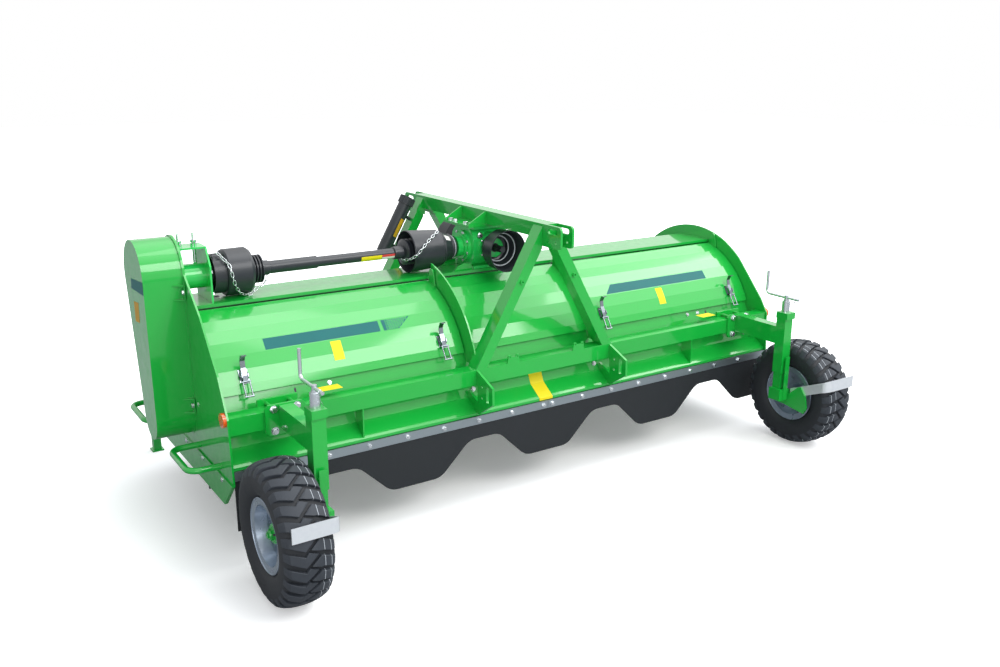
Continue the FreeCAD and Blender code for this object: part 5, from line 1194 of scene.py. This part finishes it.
# %% Soft boxes
def soft_box(name, place, target, width, height, brightness):
    """Rectangular soft box; brightness is what a mirror would show of it, with white paper as 1."""
    lamp = bpy.data.lights.new(name, "AREA")
    lamp.shape = "RECTANGLE"
    lamp.size = width
    lamp.size_y = height
    lamp.energy = brightness * math.pi * width * height
    holder = bpy.data.objects.new(name, lamp)
    bpy.context.scene.collection.objects.link(holder)
    holder.matrix_world = aimed(Vector(place), Vector(place) - Vector(target))
    return holder


boxes = [soft_box("overhead_box", (0.5, -0.2, 5.2), (0, 0, 0.6), 2.6, 2.2, 1.8),
         soft_box("side_box", (4.3, -0.4, 4.6), (1.0, -0.3, 0.9), 2.4, 2.0, 3.6),
         soft_box("shoulder_box", (1.4, -4.6, 4.7), (-0.6, -0.4, 0.8), 4.2, 2.6, 5.4),
         soft_box("fill_box", (-3.6, -5.4, 1.9), (0, 0, 1.0), 3.0, 2.0, 3.0)]
print("power", [round(box.data.energy) for box in boxes], "W")

# %% [markdown]
# The floor is matt and keeps the machine's shadow. To the eye it fades to plain white a few metres out,
# so that no horizon shows, but by the light path it lights the machine only as a pale grey floor would.

# %% Floor
FLOOR_HALF = 30.0
SHADOW_REACH = (1.3, 3.3)            # the floor fades to plain white between these distances
SHADOW_LIFT = 0.18                   # share of white that the shadow's core already has
floor_mesh = bpy.data.meshes.new("studio_floor")
floor_mesh.from_pydata([(-FLOOR_HALF, -FLOOR_HALF, 0), (FLOOR_HALF, -FLOOR_HALF, 0),
                        (FLOOR_HALF, FLOOR_HALF, 0), (-FLOOR_HALF, FLOOR_HALF, 0)], [], [(0, 1, 2, 3)])
floor = bpy.data.objects.new("studio_floor", floor_mesh)
bpy.context.scene.collection.objects.link(floor)
floor_paint, tree, shader, place = finish_named("studio_floor_paint", Roughness=0.8, Specular_IOR_Level=0.1)
seen_floor = add(tree, "ShaderNodeLightPath").outputs["Is Camera Ray"]
pale = add(tree, "ShaderNodeMix", {0: seen_floor}, {MIX_A: linear("A6A6A6"), MIX_B: linear("F3F1ED")},
           data_type="RGBA")
tree.links.new(pale.outputs[MIX_OUT], shader.inputs["Base Color"])
away = add(tree, "ShaderNodeVectorMath", {0: place}, operation="LENGTH")
fade = add(tree, "ShaderNodeMapRange", {0: away.outputs["Value"]},
           {1: SHADOW_REACH[0], 2: SHADOW_REACH[1], 3: SHADOW_LIFT, 4: 1.0})
lift = add(tree, "ShaderNodeMath", {0: seen_floor, 1: fade.outputs[0]}, operation="MULTIPLY")
shader.inputs["Emission Color"].default_value = linear("FFFFFF")
tree.links.new(lift.outputs[0], shader.inputs["Emission Strength"])
floor_mesh.materials.append(floor_paint)
print("floor", 2 * FLOOR_HALF, "m wide")

# %% [markdown]
# The camera stands behind and to the left of the machine, a little above head height, and looks down
# by a sixth of a right angle. Its heading, dip and roll are turned one after another.

# %% Camera
CAMERA_PLACE = (-2668.7, -4189.3, 2039.8)
HEADING, DIP, ROLL = 34.491, 15.643, 0.481
lens = bpy.data.cameras.new("view")
lens.sensor_width = 36.0
lens.lens = 33.97
lens.shift_x = -0.0116
lens.shift_y = -0.0041
camera = bpy.data.objects.new("view", lens)
bpy.context.scene.collection.objects.link(camera)
camera.matrix_world = (Matrix.Translation(at(*CAMERA_PLACE))
                       @ Matrix.Rotation(math.radians(-HEADING), 4, "Z")
                       @ Matrix.Rotation(math.radians(90 - DIP), 4, "X")
                       @ Matrix.Rotation(math.radians(ROLL), 4, "Z"))
bpy.context.scene.camera = camera
bpy.context.scene.view_settings.view_transform = "Standard"
print("camera at", [round(v, 3) for v in camera.location])
